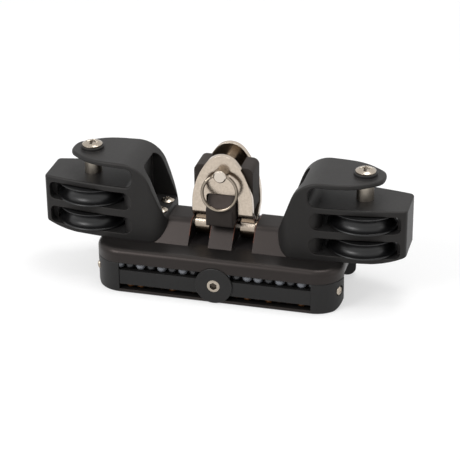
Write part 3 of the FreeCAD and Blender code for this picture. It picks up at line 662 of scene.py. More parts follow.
@dataclass(frozen=True)
class SlottedFinish(Finish):
    """Anodised finish, worn reddish brown along the milled edges of the strap slots.

    The floor of the slots, which the straps cover, is left matt and painted darker, as painted
    shade under the straps. Lengths are in millimetres.
    """

    worn_tone: Colour = (0.30, 0.075, 0.030)
    worn_width: float = 1.5
    worn_reach: float = 0.5
    worn_full: float = 0.2
    worn_base: float = 34.0
    slot_middle: float = 13.85
    slot_half: float = 6.35
    wall_reach: float = 21.0
    floor_inner: float = 7.6
    floor_reach: float = 19.0
    floor_fade: float = 6.0
    floor_level: float = 29.5
    # floor_tone is painted shade: a near-black tone on the slots' floor, under the straps.
    floor_tone: Colour = (0.004, 0.004, 0.005)
    floor_gloss: float = 0.75
    top_base: float = 38.0
    top_gloss: float = 0.58

    def local_tone(self, coat: Coat, tones: Socket) -> Socket:
        """Tints the upper edges of the slots, both the rim of a wall and the slope beside it,
        and paints shade on the slots' floor.

        Args:
            coat: the material in the making.
            tones: its plain colour.

        Returns:
            Socket of the tinted colour with its painted shade.
        """
        net = coat.net
        rim = net.group(coat.effects.edges, "Mask", Vector=coat.place, Width=self.worn_width)
        along, _, height = net.parts(coat.place)
        from_middle = net.maths("SUBTRACT", net.size(along), self.slot_middle * MM)
        from_wall = net.maths("SUBTRACT", net.size(from_middle), self.slot_half * MM)
        beside = net.ramp(net.size(from_wall), low=self.worn_reach * MM, high=self.worn_full * MM)
        above = net.maths("GREATER_THAN", height, self.worn_base * MM)
        worn = net.mix(net.product(beside, rim, above), tones, self.worn_tone)
        # Painted shade: the slots' floor takes the near-black floor tone.
        return net.mix(self.in_slot(coat), worn, self.floor_tone)

    def local_gloss(self, coat: Coat, roughness: Socket) -> Socket:
        """Matt on the floor of the slots, and duller on the ridge's flat top than on its sides.

        Args:
            coat: the material in the making.
            roughness: its plain roughness.

        Returns:
            Socket of the changed roughness.
        """
        net = coat.net
        above = net.maths("GREATER_THAN", net.parts(coat.place)[2], self.top_base * MM)
        top = net.product(net.ramp(net.facing()[2], low=0.85, high=1.0), above)
        duller = net.between(top, roughness, self.top_gloss)
        return net.between(self.in_slot(coat), duller, self.floor_gloss)

    def in_slot(self, coat: Coat) -> Socket:
        """Mask of the slots' floor: the flange's top between a slot's walls, fading at its ends.

        Args:
            coat: the material in the making.

        Returns:
            Socket that is 1 on the floor and 0 elsewhere.
        """
        net = coat.net
        along, across, height = net.parts(coat.place)
        past_middle = net.maths("GREATER_THAN", net.size(along), self.floor_inner * MM)
        near = net.maths("LESS_THAN", net.size(along), self.wall_reach * MM)
        under = net.ramp(net.size(across), low=self.floor_reach * MM,
                         high=(self.floor_reach - self.floor_fade) * MM)
        level = net.maths("LESS_THAN", height, self.floor_level * MM)
        return net.product(past_middle, near, under, level)


@dataclass(frozen=True)
class StripFinish(Finish):
    """Satin strip that is polished on its cut edges and round the cross pin.

    It is painted darker towards the bottom, as painted shade and a painted dark reflection where
    it goes down into its slot. Heights are in millimetres.
    """

    polish: float = 0.17
    barrel_top: float = 47.0
    # This tone is painted shade and a painted dark reflection, low on the barrel where it enters its
    # slot.
    strip_painted_shade: Colour = (0.15, 0.115, 0.082)
    strip_shade_base: float = 34.5
    strip_shade_top: float = 41.0

    def local_tone(self, coat: Coat, tones: Socket) -> Socket:
        """Fades from a painted shade to the plain tones up the barrel.

        Args:
            coat: the material in the making.
            tones: its plain colour.

        Returns:
            Socket of the colour with its painted shade.
        """
        height = coat.net.parts(coat.place)[2]
        clear = coat.net.ramp(height, low=self.strip_shade_base * MM, high=self.strip_shade_top * MM)
        # Painted shade towards the bottom of the barrel.
        return coat.net.mix(clear, self.strip_painted_shade, tones)

    def local_gloss(self, coat: Coat, roughness: Socket) -> Socket:
        """Smooth round the pin, and where a face looks neither to the front nor to the rear.

        Args:
            coat: the material in the making.
            roughness: its plain roughness.

        Returns:
            Socket of the changed roughness.
        """
        net = coat.net
        above = net.maths("GREATER_THAN", net.parts(coat.place)[2], self.barrel_top * MM)
        satin = net.product(net.ramp(net.size(net.facing()[1]), low=0.55, high=0.8), above)
        return net.between(satin, self.polish, roughness)


@dataclass(frozen=True)
class LitTongueFinish(Finish):
    """Rubber with painted light: a paler patch on the upper face of the tongue.

    The patch is even across its core and ends at its half width. Lengths are in millimetres.
    """

    # These set a painted light: a paler patch on the tongue's upper face.
    tongue_painted_light: Colour = (0.085, 0.068, 0.060)
    lit_base: float = 54.5
    lit_top: float = 57.5
    lit_half: float = 8.4
    lit_core: float = 5.04
    lit_front: float = 10.0
    light_patch_size: float = 2.5

    def local_tone(self, coat: Coat, tones: Socket) -> Socket:
        """Paints light on the upper part of both tongues, less towards their sides.

        Args:
            coat: the material in the making.
            tones: its plain colour.

        Returns:
            Socket of the colour with its painted light.
        """
        net = coat.net
        along, across, height = net.parts(coat.place)
        above = net.ramp(height, low=self.lit_base * MM, high=self.lit_top * MM)
        inside = net.ramp(net.size(along), low=self.lit_half * MM, high=self.lit_core * MM)
        front = net.maths("GREATER_THAN", net.size(across), self.lit_front * MM)
        patch = net.group(coat.effects.cloud, "Mask", Vector=coat.place, Size=self.light_patch_size)
        patchy = net.between(patch, low=0.6, high=1.0)
        # Painted light on the tongues' upper face.
        return net.mix(net.product(above, inside, patchy, front), tones, self.tongue_painted_light)


@dataclass(frozen=True)
class PinFinish(Finish):
    """Polished pin with bright ends and a shank darkened as a painted dark reflection."""

    # The shank tone is a painted dark reflection on the shank.
    shank_painted_shade: Colour = (0.36, 0.31, 0.255)

    def local_tone(self, coat: Coat, tones: Socket) -> Socket:
        """Paints a dark reflection on what faces neither to the front nor to the rear."""
        end_face = coat.net.ramp(coat.net.size(coat.net.facing()[1]), low=0.4, high=0.7)
        # Painted dark reflection on the shank.
        return coat.net.mix(end_face, self.shank_painted_shade, tones)


@dataclass(frozen=True)
class MarkedFinish(Finish):
    """Finish that takes a second tone where the mesh is marked."""

    marked_tone: Colour = (0.05, 0.05, 0.05)

    def local_tone(self, coat: Coat, tones: Socket) -> Socket:
        """Takes the second tone by the mark on each point of the mesh.

        Args:
            coat: the material in the making.
            tones: its plain colour.

        Returns:
            Socket of the changed colour.
        """
        mark = coat.net.node("ShaderNodeAttribute")
        mark.attribute_name = "mark"
        return coat.net.mix(mark.outputs["Fac"], tones, self.marked_tone)


@dataclass(frozen=True)
class Finishes:
    """Every finish of the car, its toggle and its blocks."""

    anodised: Finish = SlottedFinish(
        "black anodised aluminium", (0.0105, 0.0098, 0.0094), (0.0140, 0.0130, 0.0124),
        (0.04, 0.028, 0.025), roughness=(0.30, 0.40), specular=0.36, tint=(1.0, 0.85, 0.80),
        grain_size=0.25, grain_depth=0.007, streak_depth=0.004, streak_length=30.0, edge_share=0.45,
        round_radius=0.35)
    moulded: Finish = Finish(
        "moulded end cap black", (0.0125, 0.0120, 0.0118), (0.0165, 0.0158, 0.0155),
        (0.028, 0.027, 0.026), roughness=(0.36, 0.52), specular=0.28, grain_size=0.8,
        grain_depth=0.040, edge_share=0.3, round_radius=0.4)
    disc: Finish = Finish(
        "disc black", (0.0150, 0.0142, 0.0138), (0.0190, 0.0182, 0.0178), (0.032, 0.031, 0.030),
        roughness=(0.34, 0.48), specular=0.28, grain_size=0.8, grain_depth=0.040, edge_share=0.3,
        round_radius=0.3)
    # The composite's pale edge tone is a painted highlight along its edges.
    composite: Finish = Finish(
        "block composite", (0.0180, 0.0173, 0.0170), (0.0228, 0.0220, 0.0216), (0.090, 0.080, 0.073),
        roughness=(0.40, 0.54), specular=0.25, tint=(1.0, 0.96, 0.93), grain_size=0.9,
        grain_depth=0.040, cloud_size=22.0, edge_width=0.6, edge_share=0.45, round_radius=0.7)
    sheave: Finish = Finish(
        "sheave black", (0.0055, 0.0055, 0.0058), (0.0080, 0.0080, 0.0084), (0.03, 0.03, 0.03),
        roughness=(0.30, 0.40), specular=0.48, grain_size=0.6, grain_depth=0.004, edge_share=0.25)
    bronze: Finish = Finish(
        "bush bronze", (0.52, 0.33, 0.15), (0.42, 0.25, 0.11), (0.7, 0.5, 0.28),
        metallic=1.0, roughness=(0.28, 0.42), grain_depth=0.006, streak_depth=0.004)
    strip: Finish = StripFinish(
        "satin stainless strip", (0.49, 0.417, 0.343), (0.59, 0.505, 0.417), (0.76, 0.70, 0.62),
        metallic=1.0, roughness=(0.13, 0.24), grain_size=0.7, grain_depth=0.016,
        streak_depth=0.014, streak_turn=(0.0, 0.35, 0.0), streak_length=6.0, cloud_size=1.3,
        edge_share=0.5, round_radius=0.5)
    bar: Finish = PinFinish(
        "polished stainless bar", (0.66, 0.595, 0.52), (0.58, 0.52, 0.45), (0.85, 0.80, 0.73),
        metallic=1.0, roughness=(0.12, 0.22), grain_size=0.5, grain_depth=0.003,
        streak_depth=0.003, edge_share=0.5, round_radius=0.3)
    axle: Finish = Finish(
        "satin stainless axle", (0.44, 0.395, 0.335), (0.37, 0.33, 0.28), (0.70, 0.65, 0.58),
        metallic=1.0, roughness=(0.32, 0.44), grain_size=0.4, grain_depth=0.006, edge_share=0.4,
        round_radius=0.3)
    # The wire's marked tone is a painted dark reflection on the flanks of its section.
    wire: Finish = MarkedFinish(
        "ring wire", (0.45, 0.385, 0.315), (0.38, 0.325, 0.26), (0.70, 0.64, 0.56),
        metallic=1.0, roughness=(0.08, 0.16), grain_size=0.4, grain_depth=0.003, edge_share=0.0,
        marked_tone=(0.070, 0.054, 0.040))
    # The screws' marked tone is painted shade in the driver's recess.
    screw: Finish = MarkedFinish(
        "stainless screw", (0.47, 0.415, 0.345), (0.37, 0.32, 0.265), (0.84, 0.79, 0.72),
        metallic=1.0, roughness=(0.18, 0.30), grain_size=0.25, grain_depth=0.006, edge_share=0.4,
        marked_tone=(0.060, 0.050, 0.040))
    rubber: Finish = LitTongueFinish(
        "boot rubber", (0.032, 0.0262, 0.0232), (0.043, 0.0352, 0.0315), (0.060, 0.050, 0.044),
        roughness=(0.60, 0.74), specular=0.22, grain_size=0.7, grain_depth=0.045, cloud_size=9.0,
        edge_share=0.3, round_radius=0.9)
    # The ball tones are darkened as painted shade, for balls that sit in shadow under the flange. The
    # marked tone makes the spacer balls darker still.
    white_ball: Finish = MarkedFinish(
        "white ball", (0.27, 0.285, 0.315), (0.23, 0.243, 0.27), (0.27, 0.285, 0.315),
        roughness=(0.20, 0.30), grain_depth=0.003, edge_share=0.0, marked_tone=(0.030, 0.031, 0.034))
    amber_ball: Finish = MarkedFinish(
        "amber ball", (0.14, 0.058, 0.018), (0.11, 0.045, 0.014), (0.14, 0.058, 0.018),
        roughness=(0.20, 0.30), grain_depth=0.003, edge_share=0.0, marked_tone=(0.022, 0.013, 0.009))


@dataclass
class Workshop:
    """Gives pieces their finish and body, and keeps one material for each finish."""

    frame: dict
    finishes: Finishes = field(default_factory=Finishes)
    effects: Effects = field(default_factory=Effects)
    made: dict[str, bpy.types.Material] = field(default_factory=dict)

    def paint(self, piece: bpy.types.Object, finish: Finish) -> None:
        """Puts one finish on the whole of a piece, made the first time that it is asked for.

        Args:
            piece: the piece to paint.
            finish: its finish.
        """
        if finish.name not in self.made:
            self.made[finish.name] = finish.material(self.effects)
        piece.data.materials.clear()
        piece.data.materials.append(self.made[finish.name])

    def dress(self, nodes: Sequence[str], finish: Finish) -> None:
        """Gives CAD nodes a finish and leaves their shape as it is.

        Args:
            nodes: names of the nodes.
            finish: finish of all of them.
        """
        for node in nodes:
            self.paint(self.frame["nodes"][node], finish)
            LOG.info("dressed %s in %s", node, finish.name)

    def stand_in(self, piece: bpy.types.Object, node: str, slot: str, finish: Finish) -> None:
        """Lets a new piece stand for a CAD node, on that node's body.

        Args:
            piece: the new piece.
            node: name of the CAD node that it replaces.
            slot: material slot of that node in the record; not used.
            finish: finish of the new piece.
        """
        self.paint(piece, finish)
        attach(piece, self.frame["nodes"][node]["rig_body"])
        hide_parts(node)
        LOG.info("built %s with %d faces", piece.name, len(piece.data.polygons))


# Sub-assemblies


@dataclass(frozen=True)
class Screw:
    """Screw with a rimmed dome head and a driver's recess, with its sizes in millimetres.

    The shank's flat end is closed from the radius of its tip. The recess is given in shares of the
    head's radius, apart from its depth, a share of the head's height, and the cross's rise, the
    share of the depth that is lost at its ends.
    """

    head: float
    height: float
    rim: float
    shank: float
    length: float
    recess: Recess
    dome_power: float = 2.2
    rim_easing: float = 0.12
    tip: float = 0.05
    recess_depth: float = 0.85
    recess_easing: float = 0.05
    cross_reach: float = 0.60
    cross_half: float = 0.13
    cross_core: float = 0.24
    cross_rise: float = 0.6
    hexagon_half: float = 0.52

    def surface(self, sides: int = 96) -> Surface:
        """Screw up Z with its head's seat at the origin.

        The dome is z(s) = rim + (height - rim) (1 - s^power) at a share s of the head's radius, with
        its rings close together where the recess lies. The recess is taken off it with soft walls
        and marked by its depth, which the finish turns into painted shade, and the rest is the turned
        rim, seat and shank.

        Args:
            sides: number of points round the screw.

        Returns:
            The screw's surface.
        """
        close_rings = np.linspace(0.03, 0.62, 30)
        wide_rings = np.linspace(0.66, 0.97, 8)
        share = np.concatenate([close_rings, wide_rings])
        rise = self.rim + (self.height - self.rim) * (1 - share ** self.dome_power)
        dome = np.stack([self.head * share, rise], axis=1)
        corners = [tuple(dome[-1]), (self.head, self.rim), (self.head, 0.0), (self.shank, 0.0),
                   (self.shank, -self.length), (self.tip, -self.length)]
        lower = rounded_line(corners, self.rim_easing * self.rim, steps=4)
        grid = turned(np.concatenate([dome, lower[1:]]), sides)
        depth = np.zeros(grid.shape[:2])
        depth[:len(share)] = self.cut(grid[:len(share), :, 0], grid[:len(share), :, 1])
        grid[:, :, 2] -= depth
        # The marks give painted shade in the recess.
        return Surface.of_grid(grid * MM, False, depth / depth.max())

    def cut(self, x: np.ndarray, y: np.ndarray) -> np.ndarray:
        """Depth of the recess at points of the head.

        A cross is cut where the smaller of |x| and |y| is under its half width and the larger under
        its reach, and it rises towards its four ends. A hexagon is cut where the largest of a
        point's distances towards its flats is under its half width.

        Args:
            x: first coordinate of the points.
            y: second coordinate of the points.

        Returns:
            Array of depths like x and y.
        """
        deep = self.recess_depth * self.height
        soft = self.recess_easing * self.head
        if self.recess is Recess.CROSS:
            reach, half = self.cross_reach * self.head, self.cross_half * self.head
            along = np.maximum(np.abs(x), np.abs(y))
            across = np.minimum(np.abs(x), np.abs(y))
            arms = smooth((half - across) / soft + 0.5) * smooth((reach - along) / soft + 0.5)
            core = smooth((self.cross_core * self.head - np.hypot(x, y)) / soft + 0.5)
            return deep * np.maximum(arms * (1.0 - self.cross_rise * along / reach), core)
        slant = np.abs(y) * math.sin(math.radians(60.0))
        flats = np.maximum(np.abs(x), np.abs(x) / 2.0 + slant)
        return deep * smooth((self.hexagon_half * self.head - flats) / soft + 0.5)


@dataclass
class Car:
    """Anodised body with its caps, guide bars, discs, balls and screws, in millimetres."""

    shop: Workshop
    cap_seat: Point = (75.0, 24.5, 12.7)
    disc_seat: Point = (0.0, 34.7, 11.8)
    row_end: float = 60.9
    rows: tuple[float, float] = (21.0, 30.5)
    balls_in_row: int = 19
    levels: tuple[float, float] = (18.15, 5.6)
    crown: float = 65.25
    ball: float = 3.17
    spacer: float = 2.85
    ball_rings: int = 13
    ball_sides: int = 24
    upper_load: tuple[int, ...] = (0, 2, 4, 6, 8, 10, 12, 13, 15, 17)
    lower_load: tuple[int, ...] = (1, 2, 5, 12, 14, 17)
    cap_screw: Screw = Screw(3.0, 2.4, 1.0, 1.6, 24.0, Recess.CROSS)
    disc_screw: Screw = Screw(4.0, 1.6, 1.0, 2.0, 10.5, Recess.HEXAGON)
    screw_sides: int = 72

    def build(self) -> None:
        """Dresses the car's own nodes and sets its balls and screws."""
        finishes = self.shop.finishes
        self.shop.dress(["car_body"], finishes.anodised)
        self.shop.dress([f"end_cap_{side}_{end}" for side in SIDES for end in ENDS], finishes.moulded)
        self.shop.dress([f"guide_bar_{side}" for side in SIDES], finishes.moulded)
        self.shop.dress([f"centre_disc_{side}" for side in SIDES], finishes.disc)
        for side, sign in zip(SIDES, (-1.0, 1.0)):
            for level, height in zip(("upper", "lower"), self.levels):
                white = level == "upper"
                load = self.upper_load if white else self.lower_load
                circuit = self.circuit(f"{level}_ball_circuit_{side}", load, sign, height)
                self.shop.stand_in(circuit, f"{level}_balls_{side}",
                                   "white_ball" if white else "amber_ball",
                                   finishes.white_ball if white else finishes.amber_ball)
        self.shop.stand_in(self.cap_screws(), "end_cap_screws", "stainless_screw", finishes.screw)
        self.shop.stand_in(self.disc_screws(), "disc_screws", "stainless_screw", finishes.screw)

    def circuit(self, name: str, load: tuple[int, ...], sign: float, height: float) -> bpy.types.Object:
        """One circuit of balls: p = c + r (cos v cos u, cos v sin u, sin v) round every centre c.

        Load balls stand among smaller spacer balls, and the mark on each point of the mesh is 1 on
        a spacer. The return row holds a spacer where the window's row holds a load ball.

        Args:
            name: name of the new piece.
            load: places in the window's row, counted from the left, that hold a load ball.
            sign: -1 for the front of the car and 1 for the rear.
            height: height of the circuit in millimetres.

        Returns:
            The piece with all the balls of the circuit.
        """
        x = np.linspace(-self.row_end, self.row_end, self.balls_in_row)
        spacing = 1 - np.isin(np.arange(self.balls_in_row), load)
        middle = sum(self.rows) / 2.0
        centres = np.concatenate([np.stack([x, np.full_like(x, row)], axis=1) for row in self.rows]
                                 + [np.array([[-self.crown, middle], [self.crown, middle]])])
        centres = np.column_stack([centres[:, 0], sign * centres[:, 1], np.full(len(centres), height)])
        spacers = np.concatenate([1 - spacing, spacing, [0, 0]])
        radii = np.where(spacers > 0, self.spacer, self.ball)
        lift = np.linspace(-0.5, 0.5, self.ball_rings + 2)[1:-1] * math.pi
        profile = np.stack([np.cos(lift), np.sin(lift)], axis=1)
        unit = Surface.of_grid(turned(profile, self.ball_sides), False)
        return Surface.joined([
            Surface((unit.points * radius + centre) * MM, unit.faces, np.full(len(unit.points), spacer))
            for radius, centre, spacer in zip(radii, centres, spacers)]).piece(name)

    def cap_screws(self) -> bpy.types.Object:
        """Four screws that hold the end caps.

        Returns:
            The piece with all four.
        """
        x, y, z = (value * MM for value in self.cap_seat)
        screw = self.cap_screw.surface(self.screw_sides)
        return Surface.joined([screw.placed((sign * x, side * y, z), axis)
                               for sign, axis in ((-1.0, Axis.LEFT), (1.0, Axis.RIGHT))
                               for side in (-1.0, 1.0)]).piece("cap_screw_set")

    def disc_screws(self) -> bpy.types.Object:
        """Two screws in the middle of the discs.

        Returns:
            The piece with both.
        """
        x, y, z = (value * MM for value in self.disc_seat)
        screw = self.disc_screw.surface(self.screw_sides)
        return Surface.joined([screw.placed((x, -y, z), Axis.FRONT),
                               screw.placed((x, y, z), Axis.REAR)]).piece("disc_screw_pair")


@dataclass
class Toggle:
    """Bent strip, boot, cross pin, clevis pin and split ring.

    The ring's wire begins at its start angle. Its turns lie a pitch of wire widths apart, the
    crossing is a share of the wire's length, and over its last rings each tip is drawn in to a
    share of its section.
    """

    shop: Workshop
    ring_turns: float = 2.0
    ring_radius: float = 10.75 * MM
    ring_start: float = math.pi / 2.0 + 0.6
    turn_pitch: float = 1.06
    crossing: float = 1.0 / 14.0
    wire_width: float = 1.22 * MM
    wire_depth: float = 1.70 * MM
    wire_rings: int = 260
    wire_sides: int = 16
    tip_rings: float = 4.0
    tip_share: float = 0.35
    hole_row: float = 15.0 * MM
    clevis_height: float = 76.8 * MM
    hole_rise: float = 0.2 * MM
    tilt: float = math.radians(17.0)

    def build(self) -> None:
        """Dresses the toggle's nodes and winds the ring."""
        finishes = self.shop.finishes
        self.shop.dress(["toggle"], finishes.strip)
        self.shop.dress(["stand_up_boot"], finishes.rubber)
        self.shop.dress(["clevis_pin", "cross_pin"], finishes.bar)
        self.shop.stand_in(self.wound_ring(), "split_ring", "stainless_wire", finishes.wire)

    def wound_ring(self) -> bpy.types.Object:
        """Two turns of wire side by side, with a step where the end crosses over.

        At angle a the centreline is (R cos a, R sin a, w(a)), where w rises by the pitch in a short
        smooth step halfway. The section is an ellipse of the wire's depth and width, drawn in to a
        blunt point at both ends. Its flanks are marked by |cos| of the section's own angle, for a
        painted dark reflection on them.

        Returns:
            The ring's piece.
        """
        share = np.linspace(0.0, 1.0, self.wire_rings)[:, None]
        angle = TAU * self.ring_turns * share + self.ring_start
        step = smooth((share - 0.5) / self.crossing + 0.5) - 0.5
        offset = step * self.wire_width * self.turn_pitch
        turn = np.linspace(0.0, TAU, self.wire_sides, endpoint=False)[None, :]
        across = np.cos(turn) * self.wire_depth / 2.0
        along = np.sin(turn) * self.wire_width / 2.0
        from_tip = np.minimum(share, 1.0 - share) * self.wire_rings / self.tip_rings
        taper = self.tip_share + (1.0 - self.tip_share) * np.clip(from_tip, 0.0, 1.0) ** 0.5
        radius = self.ring_radius + across * taper
        grid = np.stack([radius * np.cos(angle), radius * np.sin(angle), offset + along * taper],
                        axis=-1)
        # The flank marks give a painted dark reflection.
        flat = Surface.of_grid(grid, False, np.abs(np.cos(turn)))
        hung = Surface(self._hung(flat.points), flat.faces, flat.mark)
        return hung.outward().piece("wound_split_ring")

    def _hung(self, points: np.ndarray) -> np.ndarray:
        """Carries a ring drawn flat about Z to hang through the pin's cross hole.

        A point (x, y, z) goes to centre + x side - y hang + z (hang x side), where hang is the way
        down from the hole to the ring's centre.

        Args:
            points: points of the flat ring.

        Returns:
            Points of the hanging ring.
        """
        hang = np.array([0.0, -math.sin(self.tilt), -math.cos(self.tilt)])
        side = np.array([1.0, 0.0, 0.0])
        top = np.array([0.0, -self.hole_row, self.clevis_height + self.hole_rise])
        centre = top + hang * self.ring_radius
        in_plane = points[:, 0:1] * side - points[:, 1:2] * hang
        return centre + in_plane + points[:, 2:3] * np.cross(hang, side)


@dataclass
class ControlBlock:
    """Housing, axle, bushes and two sheaves at one end of the car, in millimetres.

    A sheave's profile runs from its bore over the hub, the web and the rim to the groove. A part's
    half is half its width along the axle.
    """

    shop: Workshop
    end: str
    axle_x: float = 86.0
    sheave_levels: tuple[float, float] = (38.6, 55.0)
    bore: float = 7.05
    hub_radius: float = 10.0
    hub_half: float = 5.6
    web_inner: float = 10.8
    web_outer: float = 17.0
    web_half: float = 4.2
    rim_inner: float = 17.8
    rim_half: float = 5.25
    rim_easing: float = 0.45
    radius: float = 22.5
    groove: float = 4.4
    groove_reach: float = math.radians(84.0)
    groove_points: int = 21
    sides: int = 144

    def build(self) -> None:
        """Dresses the block's nodes and turns its sheaves."""
        finishes = self.shop.finishes
        self.shop.dress([f"block_housing_{self.end}"], finishes.composite)
        self.shop.dress([f"sheave_axle_{self.end}"], finishes.axle)
        for level, height in zip(("lower", "upper"), self.sheave_levels):
            self.shop.dress([f"{level}_bush_{self.end}"], finishes.bronze)
            node = f"{level}_sheave_{self.end}"
            self.shop.stand_in(self.sheave(level, height), node, "sheave_black", finishes.sheave)

    def sheave(self, level: str, height: float) -> bpy.types.Object:
        """Grooved wheel: a closed profile with eased rims, turned about the axle.

        The groove is an arc: r(u) = radius - groove cos(u), z(u) = groove sin(u).

        Args:
            level: lower or upper, for the piece's name.
            height: height of the sheave's middle.

        Returns:
            The sheave's piece.
        """
        sweep = np.linspace(-1.0, 1.0, self.groove_points) * self.groove_reach
        groove = np.stack([self.radius - self.groove * np.cos(sweep), self.groove * np.sin(sweep)],
                          axis=1)
        corners = [(self.bore, 0.0), (self.bore, -self.hub_half), (self.hub_radius, -self.hub_half),
                   (self.web_inner, -self.web_half), (self.web_outer, -self.web_half),
                   (self.rim_inner, -self.rim_half), (self.radius, -self.rim_half), tuple(groove[0])]
        lower = rounded_line(corners, self.rim_easing)
        upper = lower[::-1] * np.array([1.0, -1.0])
        profile = np.concatenate([lower[:-1], groove, upper[1:-1]]) * MM
        side = 1.0 if self.end == "right" else -1.0
        wheel = Surface.of_grid(turned(profile, self.sides), True)
        return wheel.placed((side * self.axle_x * MM, 0.0, height * MM)).piece(
            f"turned_{level}_sheave_{self.end}")


@dataclass
class BlockScrews:
    """Screws of both blocks, one in each axle's top and two through each foot, in millimetres."""

    shop: Workshop
    axle_seat: Point = (86.0, 0.0, 82.0)
    foot_seat: Point = (40.5, 7.25, 45.2)
    axle_screw: Screw = Screw(6.3, 2.6, 0.9, 3.0, 15.0, Recess.CROSS)
    foot_screw: Screw = Screw(4.2, 1.9, 0.5, 2.0, 13.0, Recess.CROSS)

    def build(self) -> None:
        """Puts detailed screws in place of both sets."""
        finish = self.shop.finishes.screw
        sets = (("axle_screws", self.axle_screw, self.axle_seat, (1.0,)),
                ("foot_screws", self.foot_screw, self.foot_seat, (-1.0, 1.0)))
        for node, screw, seat, rows in sets:
            x, y, z = (value * MM for value in seat)
            shape = screw.surface()
            shells = [shape.placed((sign * x, row * y, z)) for sign in (-1.0, 1.0) for row in rows]
            piece = Surface.joined(shells).piece(f"turned_{node}")
            self.shop.stand_in(piece, node, "stainless_screw", finish)


@dataclass(frozen=True)
class Softbox:
    """Square soft lamp: its place, what it points at, its side in metres and its power in watts."""

    name: str
    spot: Point
    target: Point
    size: float
    power: float

    def build(self) -> None:
        """Hangs the lamp, turned to its target."""
        data = bpy.data.lights.new(self.name, "AREA")
        data.size = self.size
        data.energy = self.power
        lamp = bpy.data.objects.new(self.name, data)
        away = Vector(self.spot) - Vector(self.target)
        turn = away.to_track_quat("Z", "Y").to_matrix().to_4x4()
        lamp.matrix_world = Matrix.Translation(Vector(self.spot)) @ turn
        bpy.context.scene.collection.objects.link(lamp)


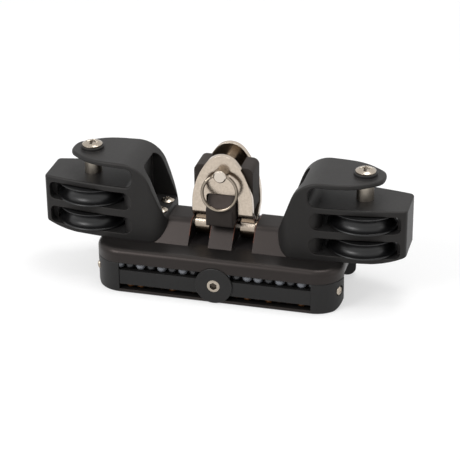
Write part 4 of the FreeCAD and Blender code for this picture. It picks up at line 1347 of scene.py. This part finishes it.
@dataclass
class Studio:
    """Pale floor, soft lamps and the camera.

    The focal length and the picture's width are in pixels, and the sensor's width is in
    millimetres. The floor has one tone for the light and a paler one, with a glow, for what the eye
    sees. The surroundings light the object at one level from the side and another from overhead.
    """

    centre: Point = (1.554 * MM, 0.0, 32.851 * MM)
    distance: float = 1120.59 * MM
    turn: float = math.radians(14.846)
    height: float = math.radians(26.877)
    roll: float = math.radians(0.650)
    focal: float = 1804.85
    picture: float = 460.0
    sensor: float = 36.0
    clip_start: float = 0.05
    floor_inner: float = 0.1
    floor_outer: float = 12.0
    floor_flat: float = 2.0
    floor_rise: float = 0.02
    floor_drop: float = 0.2 * MM
    floor_rings: int = 60
    floor_sides: int = 64
    floor_tone: Colour = (0.30, 0.30, 0.30)
    floor_seen_tone: Colour = (0.45, 0.45, 0.45)
    floor_glow: float = 0.58
    side_level: float = 0.32
    overhead_level: float = 0.70
    lamps: tuple[Softbox, ...] = (
        Softbox("key softbox", (-0.75, -1.0, 1.00), (0.0, 0.0, 0.05), 0.6, 9.0),
        Softbox("overhead softbox", (0.20, 0.10, 1.20), (0.0, 0.0, 0.0), 0.5, 5.0),
        Softbox("right softbox", (1.3, -0.2, 0.50), (0.0, 0.0, 0.04), 0.5, 0.8))

    def build(self) -> None:
        """Makes the floor, the light and the camera."""
        self.camera()
        self.floor()
        self.world()
        for lamp in self.lamps:
            lamp.build()

    def camera(self) -> None:
        """Places the camera on the photograph's line of sight, level to its small roll."""
        forward = Vector((-math.sin(self.turn) * math.cos(self.height),
                          math.cos(self.turn) * math.cos(self.height), -math.sin(self.height)))
        right = Vector((math.cos(self.turn), math.sin(self.turn), 0.0))
        up = right.cross(forward)
        tilted_right = right * math.cos(self.roll) - up * math.sin(self.roll)
        tilted_up = right * math.sin(self.roll) + up * math.cos(self.roll)
        data = bpy.data.cameras.new("camera")
        data.sensor_width = self.sensor
        data.lens = self.focal / self.picture * self.sensor
        data.clip_start = self.clip_start
        camera = bpy.data.objects.new("camera", data)
        place = Matrix.Translation(Vector(self.centre) - forward * self.distance)
        turned_axes = Matrix((tilted_right, tilted_up, -forward)).transposed()
        camera.matrix_world = place @ turned_axes.to_4x4()
        bpy.context.scene.collection.objects.link(camera)
        bpy.context.scene.camera = camera

    def floor(self) -> None:
        """Wide pale floor just under the object, a bowl that rises slowly far away.

        Its height at a radius r is rise (max(0, r - flat))^2 - drop, and one face closes its middle.
        """
        radius = np.linspace(self.floor_inner, self.floor_outer, self.floor_rings)
        height = self.floor_rise * np.maximum(0.0, radius - self.floor_flat) ** 2 - self.floor_drop
        grid = turned(np.stack([radius, height], axis=1), self.floor_sides)
        faces = grid_faces(self.floor_rings, self.floor_sides, False).tolist()
        mesh = bpy.data.meshes.new("floor")
        mesh.from_pydata(grid.reshape(-1, 3).tolist(), [], faces + [list(range(self.floor_sides))])
        mesh.update()
        floor = bpy.data.objects.new("floor", mesh)
        bpy.context.scene.collection.objects.link(floor)
        mesh.materials.append(self.floor_material())

    @staticmethod
    def seen(net: Net) -> Socket:
        """Tells what the eye sees from the light on the object.

        Args:
            net: the nodes of a material or the world.

        Returns:
            Socket that is 1 for a ray from the camera or off something glossy or clear, else 0.
        """
        path = net.node("ShaderNodeLightPath")
        seen = net.maths("MAXIMUM", path.outputs["Is Camera Ray"], path.outputs["Is Glossy Ray"])
        return net.maths("MAXIMUM", seen, path.outputs["Is Transmission Ray"])

    def floor_material(self) -> bpy.types.Material:
        """Matt floor that looks white with soft shadows, and throws little light back up.

        Returns:
            The floor's material.
        """
        made = bpy.data.materials.new("pale floor")
        made.use_nodes = True
        net = Net(made.node_tree)
        shader = made.node_tree.nodes["Principled BSDF"]
        seen = self.seen(net)
        net.set(shader.inputs["Base Color"], net.mix(seen, self.floor_tone, self.floor_seen_tone))
        shader.inputs["Emission Color"].default_value = WHITE
        net.set(shader.inputs["Emission Strength"], net.between(seen, 0.0, self.floor_glow))
        shader.inputs["Roughness"].default_value = 0.9
        shader.inputs["Specular IOR Level"].default_value = 0.0
        return made

    def world(self) -> None:
        """Surroundings that look white, and light the object more from overhead than from the side."""
        world = bpy.data.worlds.new("studio")
        world.use_nodes = True
        net = Net(world.node_tree)
        background = world.node_tree.nodes["Background"]
        height = net.parts(net.node("ShaderNodeTexCoord").outputs["Generated"])[2]
        level = net.between(net.ramp(height, low=0.1, high=0.9), self.side_level, self.overhead_level)
        net.set(background.inputs["Strength"], net.between(self.seen(net), level, 1.0))
        background.inputs["Color"].default_value = WHITE
        bpy.context.scene.world = world


def main() -> None:
    """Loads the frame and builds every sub-assembly."""
    logging.basicConfig(level=logging.INFO, format="%(name)s %(message)s")
    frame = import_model()
    shop = Workshop(frame)
    Studio().build()
    Car(shop).build()
    Toggle(shop).build()
    for end in ENDS:
        ControlBlock(shop, end).build()
    BlockScrews(shop).build()
    bpy.context.scene.view_settings.view_transform = "Standard"


if __name__ == "__main__":
    main()
